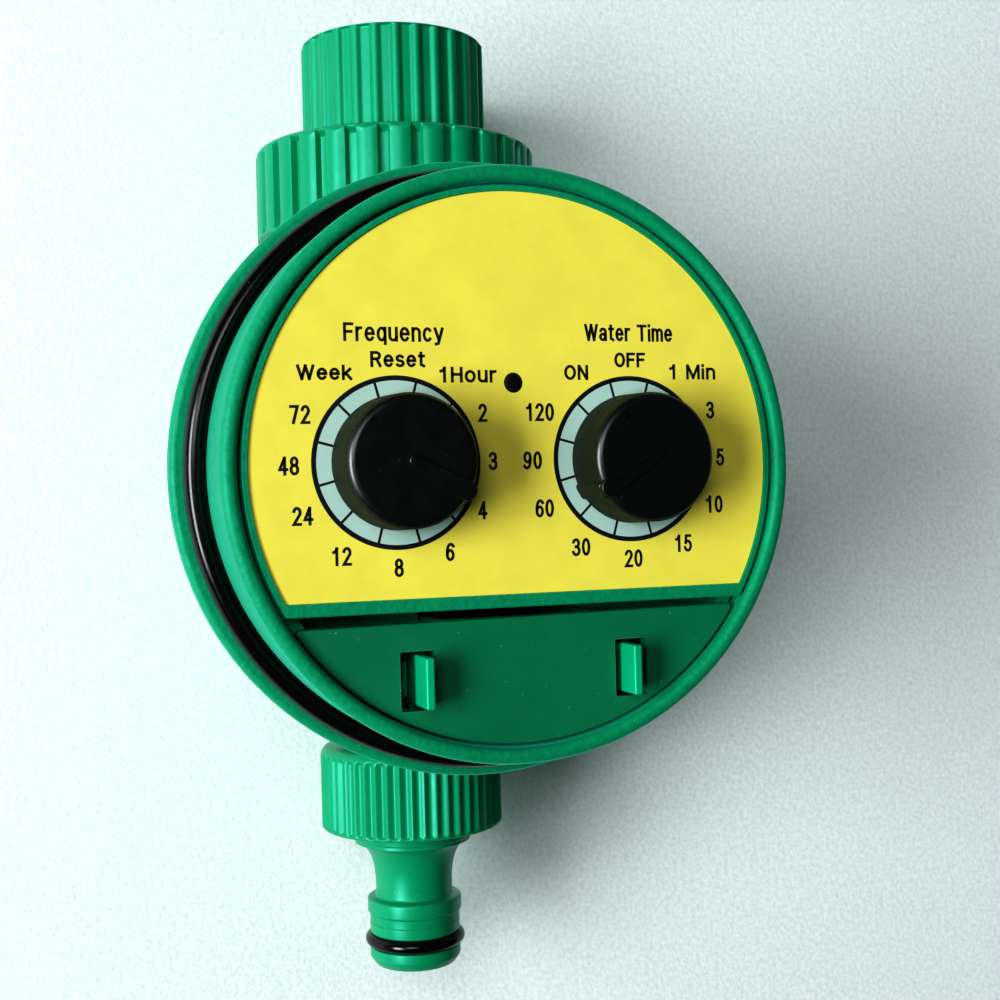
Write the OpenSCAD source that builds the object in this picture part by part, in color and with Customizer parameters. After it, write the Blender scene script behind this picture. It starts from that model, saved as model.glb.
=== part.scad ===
// Battery watering timer with a motor-driven ball valve, for a garden tap.
// The water pipe runs along Z, from the tap at the top to the hose nozzle at the bottom.
// The dial face looks along -Y.  The origin is the centre of the tap thread's mouth.

/* [Overall] */
// length from the tap thread's mouth to the nozzle's tip
total_length = 163; // [155:1:172]
// distance of the drum's centre below the tap thread's mouth
drum_drop = 76.2; // [70:0.1:82]
// distance of the printed face in front of the pipe's axis
face_out = 62.4; // [58:0.1:66]

/* [Drum] */
// outer radius of the drum's wall
wall_r = 41.5; // [38:0.1:45]
// thickness of the drum's wall where it rings the face
wall_t = 1.9; // [1.5:0.1:3]
// how far the drum's wall stands in front of the printed face
wall_proud = 1.1; // [0:0.1:2]
// radius of the flange that the rain cover seals against
flange_r = 46; // [44:0.1:50]
// thickness of the flange
flange_t = 3.8; // [2:0.1:6]
// distance of the flange's front in front of the pipe's axis
flange_out = 45.4; // [40:0.1:50]
// cord radius of the rain cover's seal
cover_cord_r = 1.7; // [1:0.1:2.5]
// distance of the drum's inside back wall in front of the pipe's axis
floor_out = 15; // [14.8:0.1:18]

/* [Face] */
// radius of the yellow panel
panel_r = 37.85; // [34:0.05:39]
// thickness of the yellow panel
panel_t = 0.6; // [0.4:0.1:1.5]
// depth of the panel's straight edge below the drum's centre
chord_drop = 17.95; // [15:0.05:22]
// radius of the front casing's rim
rim_r = 39; // [36:0.1:40]
// width of the casing's bar below the panel
bar_w = 2.2; // [1:0.1:4]
// how far the rim stands in front of the panel
rim_proud = 0.3; // [0:0.1:1]
// distance of the frequency dial to the left of the pipe
frequency_x = -17.7; // [-22:0.1:-14]
// distance of the water time dial to the right of the pipe
water_x = 16.6; // [14:0.1:22]
// height of both dials above the drum's centre
dial_z = 0.5; // [-3:0.1:4]
// place of the indicator lamp, across and up from the drum's centre
lamp_at = [-0.8, 11.3];

/* [Knobs] */
// radius of a knob
knob_r = 8.9; // [7:0.1:11]
// height of a knob
knob_h = 8.5; // [6:0.1:12]
// radius of the knob's rounded edge
knob_round = 1.2; // [0.4:0.1:2]
// radius of a switch's shaft
shaft_r = 3; // [2:0.1:4]
// clockwise angle of the frequency pointer from the top
frequency_turn = 120; // [0:30:330]
// clockwise angle of the water time pointer from the top
water_turn = 240; // [0:30:330]

/* [Batteries] */
// radius of an AAA cell
cell_r = 5.25; // [5:0.05:5.3]
// length of an AAA cell
cell_l = 44.5; // [43:0.1:44.6]
// distance between the two cells' axes
cell_gap = 11.1; // [10.8:0.1:13]
// depth of the cells' axes below the drum's centre
cell_drop = 27.5; // [26:0.1:29]
// radius of the battery tray's front cover
cover_r = 38.5; // [36:0.1:39]
// distance of the cover's front in front of the pipe's axis
cover_out = 62; // [60:0.1:63]
// thickness of the cover
cover_t = 2.2; // [1.5:0.1:3]
// distance of each latch tab from the middle
tab_x = 15.1; // [14.8:0.1:17]
// thickness of a latch tab
tab_t = 1.3; // [1:0.1:2]
// height of a latch tab
tab_h = 7; // [5:0.1:8]

/* [Water way] */
// drop of the nut's top below the tap thread's mouth
nut_drop = 18.8; // [15:0.1:22]
// height of the swivel nut
nut_h = 15.8; // [14:0.1:16]
// radius over the swivel nut's ribs
nut_r = 24.7; // [22:0.1:26]
// radius over the tap adaptor's ribs
adaptor_r = 16.2; // [15.5:0.1:18]
// bore radius of the tap adaptor's G3/4 thread, across its crests
tap_bore_r = 12.06; // [12:0.01:12.1]
// length of the tap adaptor's thread
tap_bore_l = 12.4; // [10:0.1:13]
// radius of the ball
ball_r = 9; // [8:0.1:9.5]
// radius of the hole through the ball
port_r = 5; // [4:0.1:6]
// bore radius of the valve's chamber
chamber_r = 10.2; // [10:0.1:10.5]
// drop of the knurled hose connector's top below the tap thread's mouth
connector_drop = 123.8; // [122:0.1:126]
// height of the connector's knurled part
connector_h = 14.6; // [12:0.1:16]
// radius over the connector's ribs
connector_r = 16.06; // [15:0.01:17]
// radius of the nozzle's neck
neck_r = 6.8; // [6:0.1:8]
// radius of the nozzle's collar
collar_r = 8.35; // [8:0.05:9]
// radius of the nozzle's tip
tip_r = 8.05; // [7.5:0.05:8.5]
// bore radius of the nozzle
nozzle_bore_r = 5; // [3:0.1:5.5]

/* [Gears] */
// tooth size: pitch diameter divided by the number of teeth
gear_module = 0.6; // [0.5:0.05:0.8]
// teeth on the valve's gear
output_teeth = 42; // [30:6:60]
// teeth on the second idler's wheel
second_teeth = 30; // [24:6:36]
// teeth on the first idler's wheel
first_teeth = 24; // [18:6:30]
// teeth on the motor's pinion and on both idlers' pinions
pinion_teeth = 12; // [10:2:14]
// direction from the valve's stem to the second idler
second_turn = 20; // [0:5:40]
// direction from the second idler to the first one
first_turn = 115; // [100:5:130]
// direction from the first idler to the motor
motor_turn = 175; // [160:5:190]

/* [Hidden] */
$fn = 96;

// colours
green = [0.02, 0.52, 0.31];
deep_green = [0.02, 0.40, 0.24];
yellow = [0.90, 0.87, 0.20];
black = [0.04, 0.04, 0.045];
white = [0.90, 0.90, 0.86];
steel = [0.68, 0.69, 0.71];
brass_tone = [0.78, 0.62, 0.30];
board_green = [0.05, 0.30, 0.16];

// heights along the pipe
drum_z = -drum_drop;
wall_front = face_out + wall_proud;
wall_in = wall_r - wall_t;
shell_r = wall_r - 1;
shell_in = shell_r - 2.3;
ledge_out = 50;
plate_out = face_out - panel_t;
plate_t = 2;
plate_back = plate_out - plate_t;
bar_low = chord_drop + bar_w;
washer_t = 2.4;
adaptor_foot = 27.4;
spigot_top = adaptor_foot + washer_t + 0.1;
spigot_flange_t = 2.5;
spigot_r = 12.4;
pipe_r = 14.5;
lower_pipe_r = 10.2;
lower_bore_r = 6.8;
outlet_r = 12;
outlet_top = 118;
outlet_end = connector_drop + 10.5;
seat_in = 6.3;
seat_out = 9.9;
stem_r = 4;
boss_out = 17.6;

// battery bay
tray_half = 12.2;
tray_top = bar_low + 0.95;
tray_low = 33.9;
tube_half = tray_half + 0.3;
tube_wall = 1.2;
tube_back = 11.4;
tube_end_t = 1;
cell_back = 13.75;
tray_back = 13.1;
frame_out = 52;
pivot_x = 14;
pivot_out = 55;

// circuit board
board_back = 52;
board_t = 1.6;
board_front = board_back + board_t;
board_screw_at = [[0, 31], [-28, 14], [28, 14]];

// gear train, in layers counted from the back
gear_gap = 0.5;
base_t = 1.8;
base_front = floor_out + base_t;
layer_1 = 18.3;
layer_2 = 22.3;
layer_3 = 25.8;
gear_w = 3;
wide_gear_w = 3.5;
top_plate = 30.4;
top_plate_t = 1.6;
gearbox_front = top_plate + top_plate_t;
pillar_at = [[-12.5, -10.5], [15.5, -9], [8, 27.5]];
second_at = polar(gear_module * (output_teeth + pinion_teeth) / 2, second_turn);
first_at = second_at + polar(gear_module * (second_teeth + pinion_teeth) / 2, first_turn);
motor_at = first_at + polar(gear_module * (first_teeth + pinion_teeth) / 2, motor_turn);

// tooth angles that put each pair in mesh at rest
second_pinion_phase = mesh(output_teeth, 0, pinion_teeth, second_turn);
second_wheel_phase = 0;
first_pinion_phase = mesh(second_teeth, second_wheel_phase, pinion_teeth, first_turn);
first_wheel_phase = 0;
motor_phase = mesh(first_teeth, first_wheel_phase, pinion_teeth, motor_turn);

function polar(r, a) = [r * cos(a), r * sin(a)];

// the turn that puts a tooth gap of the driven gear on the driving gear's tooth,
// where the line of centres points along angle a
function mesh(driver_teeth, driver_phase, driven_teeth, a) =
    a + 180 + 180 / driven_teeth + (a - driver_phase) * driver_teeth / driven_teeth;

// places a shape on the drum's axis, growing towards the viewer from a distance in front of the pipe
module facing(out, at = [0, 0]) {
    translate([at[0], -out, drum_z + at[1]])
        rotate([90, 0, 0])
            children();
}

module disc(out, h, r, at = [0, 0]) {
    facing(out, at)
        cylinder(h = h, r = r);
}

module ring_2d(outer, inner) {
    difference() {
        circle(r = outer);
        circle(r = inner);
    }
}

// the part of a circle above (or below) a level
module segment_2d(r, level, above = true) {
    intersection() {
        circle(r = r);
        translate([-r - 1, above ? level : level - 2 * r - 2])
            square([2 * r + 2, 2 * r + 2]);
    }
}

// a round bar along Z between two drops below the origin
module post(top, bottom, r) {
    translate([0, 0, -bottom])
        cylinder(h = bottom - top, r = r);
}

module taper(top, bottom, r_top, r_bottom) {
    translate([0, 0, -bottom])
        cylinder(h = bottom - top, r1 = r_bottom, r2 = r_top);
}

// a rubber ring with a round section
module seal_ring(r, cord) {
    rotate_extrude()
        translate([r, 0])
            circle(r = cord, $fn = 32);
}

// a ribbed outline: a core with round ribs around it
module ribbed_2d(crest, core, rib, count) {
    circle(r = core);
    for (i = [0 : count - 1])
        rotate(i * 360 / count)
            translate([crest - rib, 0])
                circle(r = rib, $fn = 24);
}

// a spur gear's outline: straight-sided teeth on a root circle
module gear_2d(teeth, phase) {
    pitch_r = gear_module * teeth / 2;
    root_r = pitch_r - 0.72;
    tip_r = pitch_r + 0.45;
    tooth = 360 / teeth;
    rotate(phase) {
        circle(r = root_r);
        for (i = [0 : teeth - 1])
            rotate(i * tooth)
                polygon([
                    polar(root_r - 0.3, -tooth * 0.26),
                    polar(root_r + 0.1, -tooth * 0.26),
                    polar(pitch_r, -tooth * 0.205),
                    polar(tip_r, -tooth * 0.12),
                    polar(tip_r, tooth * 0.12),
                    polar(pitch_r, tooth * 0.205),
                    polar(root_r + 0.1, tooth * 0.26),
                    polar(root_r - 0.3, tooth * 0.26)
                ]);
    }
}

module screw(out, shank_l, shank_r, head_r, head_h, at, toward_viewer = true) {
    facing(out, at)
        mirror([0, 0, toward_viewer ? 0 : 1]) {
            translate([0, 0, -shank_l])
                cylinder(h = shank_l + 0.2, r = shank_r);
            difference() {
                cylinder(h = head_h, r = head_r);
                for (a = [0, 90])
                    rotate(a)
                        translate([-head_r * 0.6, -0.25, head_h - 0.7])
                            cube([head_r * 1.2, 0.5, 1]);
            }
        }
}

// ---- drum and pipe, one moulding ----

module drum_profile() {
    groove_r = wall_r - 0.6;
    groove_end = flange_out + 2 * cover_cord_r + 0.6;
    polygon([
        [0, 12.5], [36, 12.5], [shell_r - 1, 14.4], [shell_r, 17],
        [shell_r, flange_out - flange_t], [flange_r - 1, flange_out - flange_t],
        [flange_r, flange_out - flange_t + 1], [flange_r, flange_out - 1],
        [flange_r - 0.8, flange_out], [groove_r, flange_out], [groove_r, groove_end],
        [wall_r, groove_end + 0.6], [wall_r, wall_front - 0.7], [wall_r - 0.7, wall_front],
        [wall_in + 0.2, wall_front], [wall_in, wall_front - 0.2], [wall_in, ledge_out],
        [shell_in, ledge_out], [shell_in, 18], [35.5, floor_out], [0, floor_out]
    ]);
}

module rear_housing() {
    color(green)
        difference() {
            union() {
                facing(0)
                    rotate_extrude()
                        drum_profile();
                pipe_outside();
                // back of the battery bay
                facing(9.4)
                    translate([-tube_half - tube_wall - 1.6, -tray_low - 3])
                        cube([2 * (tube_half + tube_wall + 1.6), tray_low - 13.4, 5.6]);
                // pads behind the gearbox screws
                for (at = pillar_at)
                    disc(10.6, 4, 3, at);
                // webs between the pipe and the drum's back
                for (z = [-8, 9], s = [-1, 1])
                    facing(6)
                        translate([s > 0 ? 11 : -27, z - 1])
                            cube([16, 2, 8]);
                // stem's boss
                disc(pipe_r - 1, boss_out - pipe_r + 1, 7);
            }
            pipe_inside();
            // stem's bore and the seat for its collar
            disc(0, boss_out + 1, stem_r + 0.05);
            disc(0, 12.2, 5.3);
            // room for the closed end of the battery tube
            facing(11.2)
                translate([-tube_half - tube_wall - 0.3, -tray_low - tube_wall - 0.6])
                    cube([2 * (tube_half + tube_wall + 0.3), tray_low + 2 * tube_wall - 18.6, 8]);
            // blind holes for the gearbox screws
            for (at = pillar_at)
                disc(12.2, 8, 1.1, at);
        }
}

module pipe_outside() {
    post(spigot_top, spigot_top + spigot_flange_t, 14.4);
    post(spigot_top + 1, 37, spigot_r);
    taper(36, 39, spigot_r, pipe_r);
    post(38.9, drum_drop + 12.3, pipe_r);
    taper(drum_drop + 12.2, drum_drop + 17, pipe_r, lower_pipe_r);
    post(drum_drop + 16.9, outlet_top, lower_pipe_r);
    taper(outlet_top - 3, outlet_top, lower_pipe_r, 14);
    post(outlet_top - 0.1, outlet_top + 2, 14);
    post(outlet_top + 1, outlet_end, outlet_r);
}

module pipe_inside() {
    post(spigot_top - 1, drum_drop + seat_out, chamber_r);
    post(drum_drop, outlet_end + 1, lower_bore_r);
}

module cover_seal() {
    color(black)
        facing(flange_out + 0.15 + cover_cord_r)
            seal_ring(wall_r - 0.5 + cover_cord_r, cover_cord_r);
}

module casing_seal() {
    color(black)
        facing(ledge_out)
            linear_extrude(0.7)
                ring_2d(wall_in - 0.2, shell_in + 0.1);
}

// ---- front casing and panel ----

module front_casing() {
    skirt_back = ledge_out + 0.8;
    color(green)
        difference() {
            union() {
                // face plate above the battery cover
                facing(plate_back)
                    linear_extrude(plate_t)
                        segment_2d(rim_r, -bar_low);
                // rim and bar around the panel
                facing(plate_back)
                    linear_extrude(plate_t + panel_t + rim_proud)
                        difference() {
                            segment_2d(rim_r, -bar_low);
                            panel_outline(0.1);
                        }
                // skirt
                facing(skirt_back)
                    linear_extrude(plate_back - skirt_back)
                        ring_2d(rim_r, rim_r - 1.6);
                // wall behind the bar
                facing(skirt_back)
                    translate([-33, -bar_low])
                        cube([66, 1.4, plate_back - skirt_back + 0.5]);
                // frame behind the cover
                facing(skirt_back)
                    linear_extrude(frame_out - skirt_back)
                        segment_2d(rim_r - 0.5, -bar_low + 0.5, above = false);
                battery_tube();
                // ribs that the latches catch on
                for (s = [-1, 1])
                    facing(frame_out - 0.2)
                        translate([s > 0 ? 16.6 : -18, -32.6])
                            cube([1.4, 7, 5.4]);
                // bosses for the board's screws
                for (at = board_screw_at)
                    disc(board_front, plate_back - board_front + 0.2, 2.6, at);
            }
            facing(tube_back + tube_end_t)
                translate([-tube_half, -tray_low - 0.3])
                    cube([2 * tube_half, tray_low + 0.6 - bar_low - 0.4, 60]);
            for (x = [frequency_x, water_x])
                disc(plate_back - 1, 6, shaft_r + 0.5, [x, dial_z]);
            disc(plate_back - 1, 6, 1.4, lamp_at);
            for (at = board_screw_at)
                disc(board_front - 1, 5, 1.1, at);
            // slits for the terminals
            for (s = [-1, 1])
                facing(tube_back - 1)
                    translate([s * cell_gap / 2 - 1, -cell_drop - 0.4])
                        cube([2, 0.8, 4]);
        }
}

// the tube that the battery tray slides into, closed at the back
module battery_tube() {
    facing(tube_back)
        translate([-tube_half - tube_wall, -tray_low - 0.3 - tube_wall])
            cube([2 * (tube_half + tube_wall), tray_low + 0.3 + 2 * tube_wall - bar_low - 0.4,
                  frame_out - tube_back]);
}

module panel_outline(grow) {
    intersection() {
        circle(r = panel_r + grow);
        translate([-50, -chord_drop - grow])
            square([100, 100]);
    }
}

module dial_panel() {
    color(yellow)
        difference() {
            facing(plate_out)
                linear_extrude(panel_t)
                    panel_outline(0);
            for (x = [frequency_x, water_x])
                disc(plate_out - 1, 4, shaft_r + 0.6, [x, dial_z]);
            disc(plate_out - 1, 4, 1.4, lamp_at);
        }
}

// ---- knobs and switches ----

module knob(x, turn) {
    back = face_out + 0.3;
    color(black)
        facing(back, [x, dial_z])
            difference() {
                union() {
                    rotate_extrude()
                        polygon(concat(
                            [[0, 0], [knob_r + 0.15, 0]],
                            [for (a = [0 : 15 : 90])
                                [knob_r - 0.15 - knob_round + knob_round * cos(a),
                                 knob_h - knob_round + knob_round * sin(a)]],
                            [[0, knob_h]]));
                    // pointer: a rib down the side and a ridge across the top
                    rotate(-turn) {
                        translate([-0.9, 0, 0])
                            cube([1.8, knob_r + 0.45, knob_h - 0.5]);
                        translate([0, 0, knob_h - 1])
                            linear_extrude(1.3)
                                polygon([[-0.45, 0], [-0.9, knob_r + 0.5], [0.9, knob_r + 0.5], [0.45, 0]]);
                    }
                }
                difference() {
                    translate([0, 0, -1])
                        cylinder(h = knob_h - 1.2, r = knob_r - 1.4);
                    translate([0, 0, -2])
                        cylinder(h = knob_h + 2, r = shaft_r + 1.6);
                }
                translate([0, 0, -1])
                    cylinder(h = 7.4, r = shaft_r + 0.02);
            }
}

module frequency_knob() {
    knob(frequency_x, frequency_turn);
}

module water_time_knob() {
    knob(water_x, water_turn);
}

module switch_shaft(x) {
    color(steel)
        facing(55, [x, dial_z])
            difference() {
                cylinder(h = face_out + 6.4 - 55, r = shaft_r);
                translate([shaft_r - 0.8, -4, 6])
                    cube([4, 8, 20]);
            }
}

module frequency_shaft() {
    switch_shaft(frequency_x);
}

module water_time_shaft() {
    switch_shaft(water_x);
}

module rotary_switch(x) {
    color(black)
        facing(board_front + 0.05, [x, dial_z])
            difference() {
                translate([-7.5, -7.5, 0])
                    cube([15, 15, plate_back - board_front - 0.15]);
                translate([0, 0, 1])
                    cylinder(h = 10, r = shaft_r + 0.05);
            }
}

module frequency_switch() {
    rotary_switch(frequency_x);
}

module water_time_switch() {
    rotary_switch(water_x);
}

// ---- circuit board ----

module circuit_board() {
    color(board_green)
        difference() {
            facing(board_back)
                linear_extrude(board_t)
                    segment_2d(36, -bar_low + 2.6);
            for (at = board_screw_at)
                disc(board_back - 1, 4, 1.3, at);
        }
}

module chip(at, size) {
    color(black)
        facing(board_back - size[2], at)
            translate([-size[0] / 2, -size[1] / 2, 0])
                cube(size);
}

module controller_chip() {
    chip([-20, 2], [7.5, 13, 2]);
}

module driver_chip() {
    chip([18, -6], [5, 4, 1.6]);
}

module capacitor() {
    color(steel)
        disc(board_back - 8, 8, 3.2, [24, 6]);
}

module motor_socket() {
    color(white)
        facing(board_back - 6, [-14, 22])
            difference() {
                translate([-4, -2.8, 0])
                    cube([8, 5.6, 6]);
                translate([-3.2, -2, -1])
                    cube([6.4, 4, 5]);
            }
}

module indicator_lamp() {
    color(black) {
        disc(board_front, 6, 1.9, lamp_at);
        disc(board_front, face_out - 0.1 - board_front, 1.3, lamp_at);
    }
}

module board_screw(i) {
    color(steel)
        screw(board_back, 4.5, 1.05, 2, 1.5, board_screw_at[i], toward_viewer = false);
}

// ---- battery tray ----

module battery_tray() {
    color(deep_green)
        difference() {
            union() {
                // front cover
                facing(cover_out - cover_t)
                    linear_extrude(cover_t)
                        segment_2d(cover_r, -tray_top + 0.2, above = false);
                // box
                facing(tray_back)
                    translate([-tray_half, -tray_low])
                        cube([2 * tray_half, tray_low - tray_top, cover_out - 1 - tray_back]);
                // lugs and pins for the latches
                for (s = [-1, 1]) {
                    for (z = [-33.9, -25.1])
                        facing(pivot_out - 1.6)
                            translate([s > 0 ? tray_half - 0.5 : -tray_half - 3.1, z])
                                cube([3.6, 1, 3.2]);
                    translate([s * pivot_x, -pivot_out, drum_z - 33.5])
                        cylinder(h = 9, r = 0.8);
                }
            }
            // room for the two cells, open at the top and through the back
            facing(tray_back - 1)
                translate([-tray_half + 1, -tray_low + 1])
                    cube([2 * tray_half - 2, 20, cover_out - cover_t - tray_back + 1]);
            // slots for the latch tabs
            for (s = [-1, 1])
                facing(cover_out - cover_t - 1)
                    translate([s > 0 ? 13.3 : -18.2, -33.2])
                        cube([4.9, 8.1, cover_t + 3]);
        }
    color(deep_green)
        facing(tray_back)
            translate([-0.25, -tray_low + 0.9])
                cube([0.5, 2.6, cover_out - cover_t - tray_back]);
}

module latch(s) {
    low = -33.2 + 0.35;
    color(green)
        difference() {
            union() {
                translate([s * pivot_x, -pivot_out, drum_z + low])
                    cylinder(h = tab_h + 0.4, r = 1.5);
                facing(pivot_out)
                    translate([s * tab_x - tab_t / 2, low + 0.2])
                        cube([tab_t, tab_h, 66 - pivot_out]);
                // catch
                facing(pivot_out + 0.4)
                    translate([s > 0 ? tab_x + tab_t / 2 - 0.1 : -tab_x - tab_t / 2 - 0.6, low + 1])
                        cube([0.7, 5, 1.6]);
            }
            translate([s * pivot_x, -pivot_out, drum_z + low - 1])
                cylinder(h = tab_h + 4, r = 0.86);
        }
}

module latch_left() {
    latch(-1);
}

module latch_right() {
    latch(1);
}

// an AAA cell: its positive pip faces the back or the viewer
module cell(x, pip_back) {
    color([0.75, 0.76, 0.78])
        facing(cell_back, [x, -cell_drop])
            translate([0, 0, pip_back ? 0 : cell_l])
                mirror([0, 0, pip_back ? 0 : 1]) {
                    translate([0, 0, 1])
                        cylinder(h = cell_l - 1, r = cell_r);
                    cylinder(h = 1.5, r = 1.9);
                }
}

module battery_1() {
    cell(-cell_gap / 2, true);
}

module battery_2() {
    cell(cell_gap / 2, false);
}

// the plate on the cover's back that joins the two cells
module bridge_contact() {
    front = cover_out - cover_t;
    color(steel) {
        facing(front - 0.4)
            translate([-9.5, -cell_drop - 3])
                cube([19, 6, 0.4]);
        for (s = [-1, 1])
            facing(cell_back + cell_l + 0.02, [s * cell_gap / 2, -cell_drop])
                cylinder(h = front - 0.2 - cell_back - cell_l - 0.02, r1 = 1.2, r2 = 2.6);
    }
}

module terminal(s) {
    front = tube_back + tube_end_t;
    color(steel) {
        facing(front)
            translate([s * cell_gap / 2 - 3, -cell_drop - 3])
                cube([6, 6, 0.35]);
        facing(front, [s * cell_gap / 2, -cell_drop])
            cylinder(h = cell_back - 0.03 - front, r1 = 2.2, r2 = 1);
        facing(tube_back - 0.1)
            translate([s * cell_gap / 2 - 0.9, -cell_drop - 0.2])
                cube([1.8, 0.4, tube_end_t + 0.2]);
    }
}

module terminal_1() {
    terminal(-1);
}

module terminal_2() {
    terminal(1);
}

// ---- inlet ----

module tap_adaptor() {
    color(green)
        difference() {
            union() {
                translate([0, 0, -nut_drop + 0.5])
                    linear_extrude(nut_drop - 0.5)
                        ribbed_2d(adaptor_r, adaptor_r - 0.65, 0.95, 28);
                post(nut_drop - 0.6, nut_drop + 0.8, 14.6);
                post(nut_drop + 0.5, adaptor_foot, 15.1);
            }
            post(-1, tap_bore_l, tap_bore_r);
            post(tap_bore_l - 0.01, tap_bore_l + 2.6, 13.1);
            post(5, 60, 8);
            post(17.5, 60, 11.5);
        }
}

module tap_washer() {
    color(black)
        translate([0, 0, -tap_bore_l - 2.5])
            linear_extrude(2.4)
                ring_2d(12.9, 8.4);
}

module inlet_nut() {
    lip_top = spigot_top + spigot_flange_t + 0.15;
    color(green)
        difference() {
            translate([0, 0, -nut_drop - nut_h])
                linear_extrude(nut_h)
                    ribbed_2d(nut_r, nut_r - 1.2, 3.2, 28);
            post(0, lip_top, 15.2);
            post(0, 60, spigot_r + 0.08);
            // hollow between the thread's sleeve and the grip
            difference() {
                post(nut_drop + 2.6, 60, 22.2);
                post(0, 70, 18.4);
            }
        }
}

module inlet_washer() {
    color(black)
        translate([0, 0, -spigot_top + 0.02])
            linear_extrude(washer_t)
                ring_2d(14.6, 9.3);
}

// a cone of mesh with a rim that the washer holds
module inlet_filter() {
    color(steel)
        translate([0, 0, -spigot_top])
            rotate_extrude()
                polygon([[9.2, 1.6], [9.2, 0.4], [7.6, 0.2], [2.5, -13], [0, -13],
                         [0, -12.4], [2.1, -12.4], [6.9, 1.6]]);
}

// ---- valve ----

module seat_retainer() {
    top = drum_drop - seat_out - 4;
    color(white)
        difference() {
            post(top, drum_drop - seat_out - 0.02, chamber_r - 0.05);
            post(0, drum_drop, 6.6);
            translate([-12, -0.8, -top - 1.2])
                cube([24, 1.6, 3]);
        }
}

module seat(up) {
    color(white)
        translate([0, 0, drum_z])
            mirror([0, 0, up ? 0 : 1])
                difference() {
                    translate([0, 0, seat_in - 1.6])
                        cylinder(h = seat_out - seat_in + 1.55, r = chamber_r - 0.05);
                    cylinder(h = 20, r = port_r + 0.9);
                    sphere(r = ball_r + 0.03);
                }
}

module upper_seat() {
    seat(true);
}

module lower_seat() {
    seat(false);
}

module valve_ball() {
    color(brass_tone)
        difference() {
            translate([0, 0, drum_z])
                sphere(r = ball_r);
            translate([-12, 0, drum_z])
                rotate([0, 90, 0])
                    cylinder(h = 24, r = port_r);
            facing(6.7)
                translate([-1.5, -4.2, 0])
                    cube([3, 8.4, 6]);
        }
}

module valve_stem() {
    color(brass_tone)
        difference() {
            union() {
                facing(6.85)
                    translate([-1.45, -3.9, 0])
                        cube([2.9, 7.8, 4.2]);
                disc(10.85, 1.2, 5.1);
                disc(12, boss_out - 12, stem_r);
                disc(boss_out - 0.1, 12, shaft_r);
            }
            for (out = [12.6, 14.9])
                facing(out)
                    linear_extrude(1.4)
                        ring_2d(stem_r + 1, stem_r - 1.1);
        }
}

module stem_seal(out) {
    color(black)
        facing(out)
            seal_ring(stem_r - 0.53, 0.53);
}

module stem_seal_inner() {
    stem_seal(13.3);
}

module stem_seal_outer() {
    stem_seal(15.6);
}

// ---- outlet ----

module outlet_washer() {
    color(black)
        difference() {
            post(outlet_end + 0.05, outlet_end + 2, 11.9);
            post(outlet_end, outlet_end + 3, 7.2);
        }
}

module hose_connector() {
    low = connector_drop + connector_h;
    bore_end = outlet_end + 2.05;
    color(green)
        difference() {
            union() {
                // smooth shoulder, then the ribbed grip
                rotate_extrude()
                    polygon([
                        [0, -connector_drop], [connector_r - 1.5, -connector_drop],
                        [connector_r - 0.3, -connector_drop - 1.4], [connector_r - 0.3, -connector_drop - 2.4],
                        [0, -connector_drop - 2.4]
                    ]);
                translate([0, 0, -low + 0.5])
                    linear_extrude(connector_h - 2.8)
                        ribbed_2d(connector_r, connector_r - 0.5, 0.66, 48);
                post(low - 0.6, low, connector_r - 0.6);
                nozzle_outside(low);
            }
            post(connector_drop - 1, bore_end, outlet_r + 0.08);
            post(connector_drop, total_length + 1, nozzle_bore_r);
        }
}

module nozzle_outside(low) {
    // rounded flare from the grip to the neck
    flare_r = 10.3 - neck_r;
    rotate_extrude()
        polygon(concat(
            [[0, -low + 1], [10.6, -low + 1], [10.6, -low - 1.4]],
            [for (a = [0 : 10 : 90])
                [neck_r + flare_r * (1 - sin(a)), -low - 2 - 2.2 * flare_r * (1 - cos(a))]],
            [[neck_r, -151], [collar_r - 0.5, -151], [collar_r, -151.6], [collar_r, -155.4],
             [collar_r - 0.4, -155.8], [collar_r - 0.4, -157.4], [6.7, -157.4], [6.7, -159.9],
             [tip_r, -159.9], [tip_r, -total_length + 1.2], [tip_r - 0.9, -total_length],
             [0, -total_length]]));
}

module nozzle_seal() {
    color(black)
        translate([0, 0, -158.65])
            seal_ring(7.8, 1.08);
}

// ---- gearbox ----

module plate_outline() {
    circle(r = 15);
    translate(second_at)
        circle(r = 10.5);
    translate(first_at)
        circle(r = 9.5);
    translate(motor_at)
        circle(r = 9.5);
    for (at = pillar_at)
        translate(at)
            circle(r = 3.4);
}

module gearbox_base() {
    color(white)
        difference() {
            union() {
                facing(floor_out)
                    linear_extrude(base_t)
                        plate_outline();
                for (at = pillar_at)
                    disc(floor_out, top_plate - floor_out, 2.3, at);
            }
            disc(floor_out - 1, 5, 7.3);
            for (at = pillar_at)
                disc(floor_out - 1, 20, 1.3, at);
            for (at = [second_at, first_at])
                disc(floor_out + 0.6, 5, 0.82, at);
        }
}

module gearbox_cover() {
    color(white)
        difference() {
            facing(top_plate)
                linear_extrude(top_plate_t)
                    plate_outline();
            disc(top_plate - 1, 4, shaft_r + 0.4);
            disc(top_plate - 1, 4, 2.9, motor_at);
            for (at = pillar_at)
                disc(top_plate - 1, 4, 1.3, at);
            for (at = [second_at, first_at])
                disc(top_plate - 1, 1.9, 0.82, at);
        }
}

module gear_disc(out, w, teeth, phase, at) {
    facing(out, at)
        linear_extrude(w)
            gear_2d(teeth, phase);
}

module output_gear() {
    color(white)
        difference() {
            union() {
                gear_disc(layer_1, wide_gear_w, output_teeth, 0, [0, 0]);
                disc(layer_1, 7.4, 5);
            }
            disc(layer_1 - 1, 12, shaft_r + 0.02);
        }
}

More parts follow.
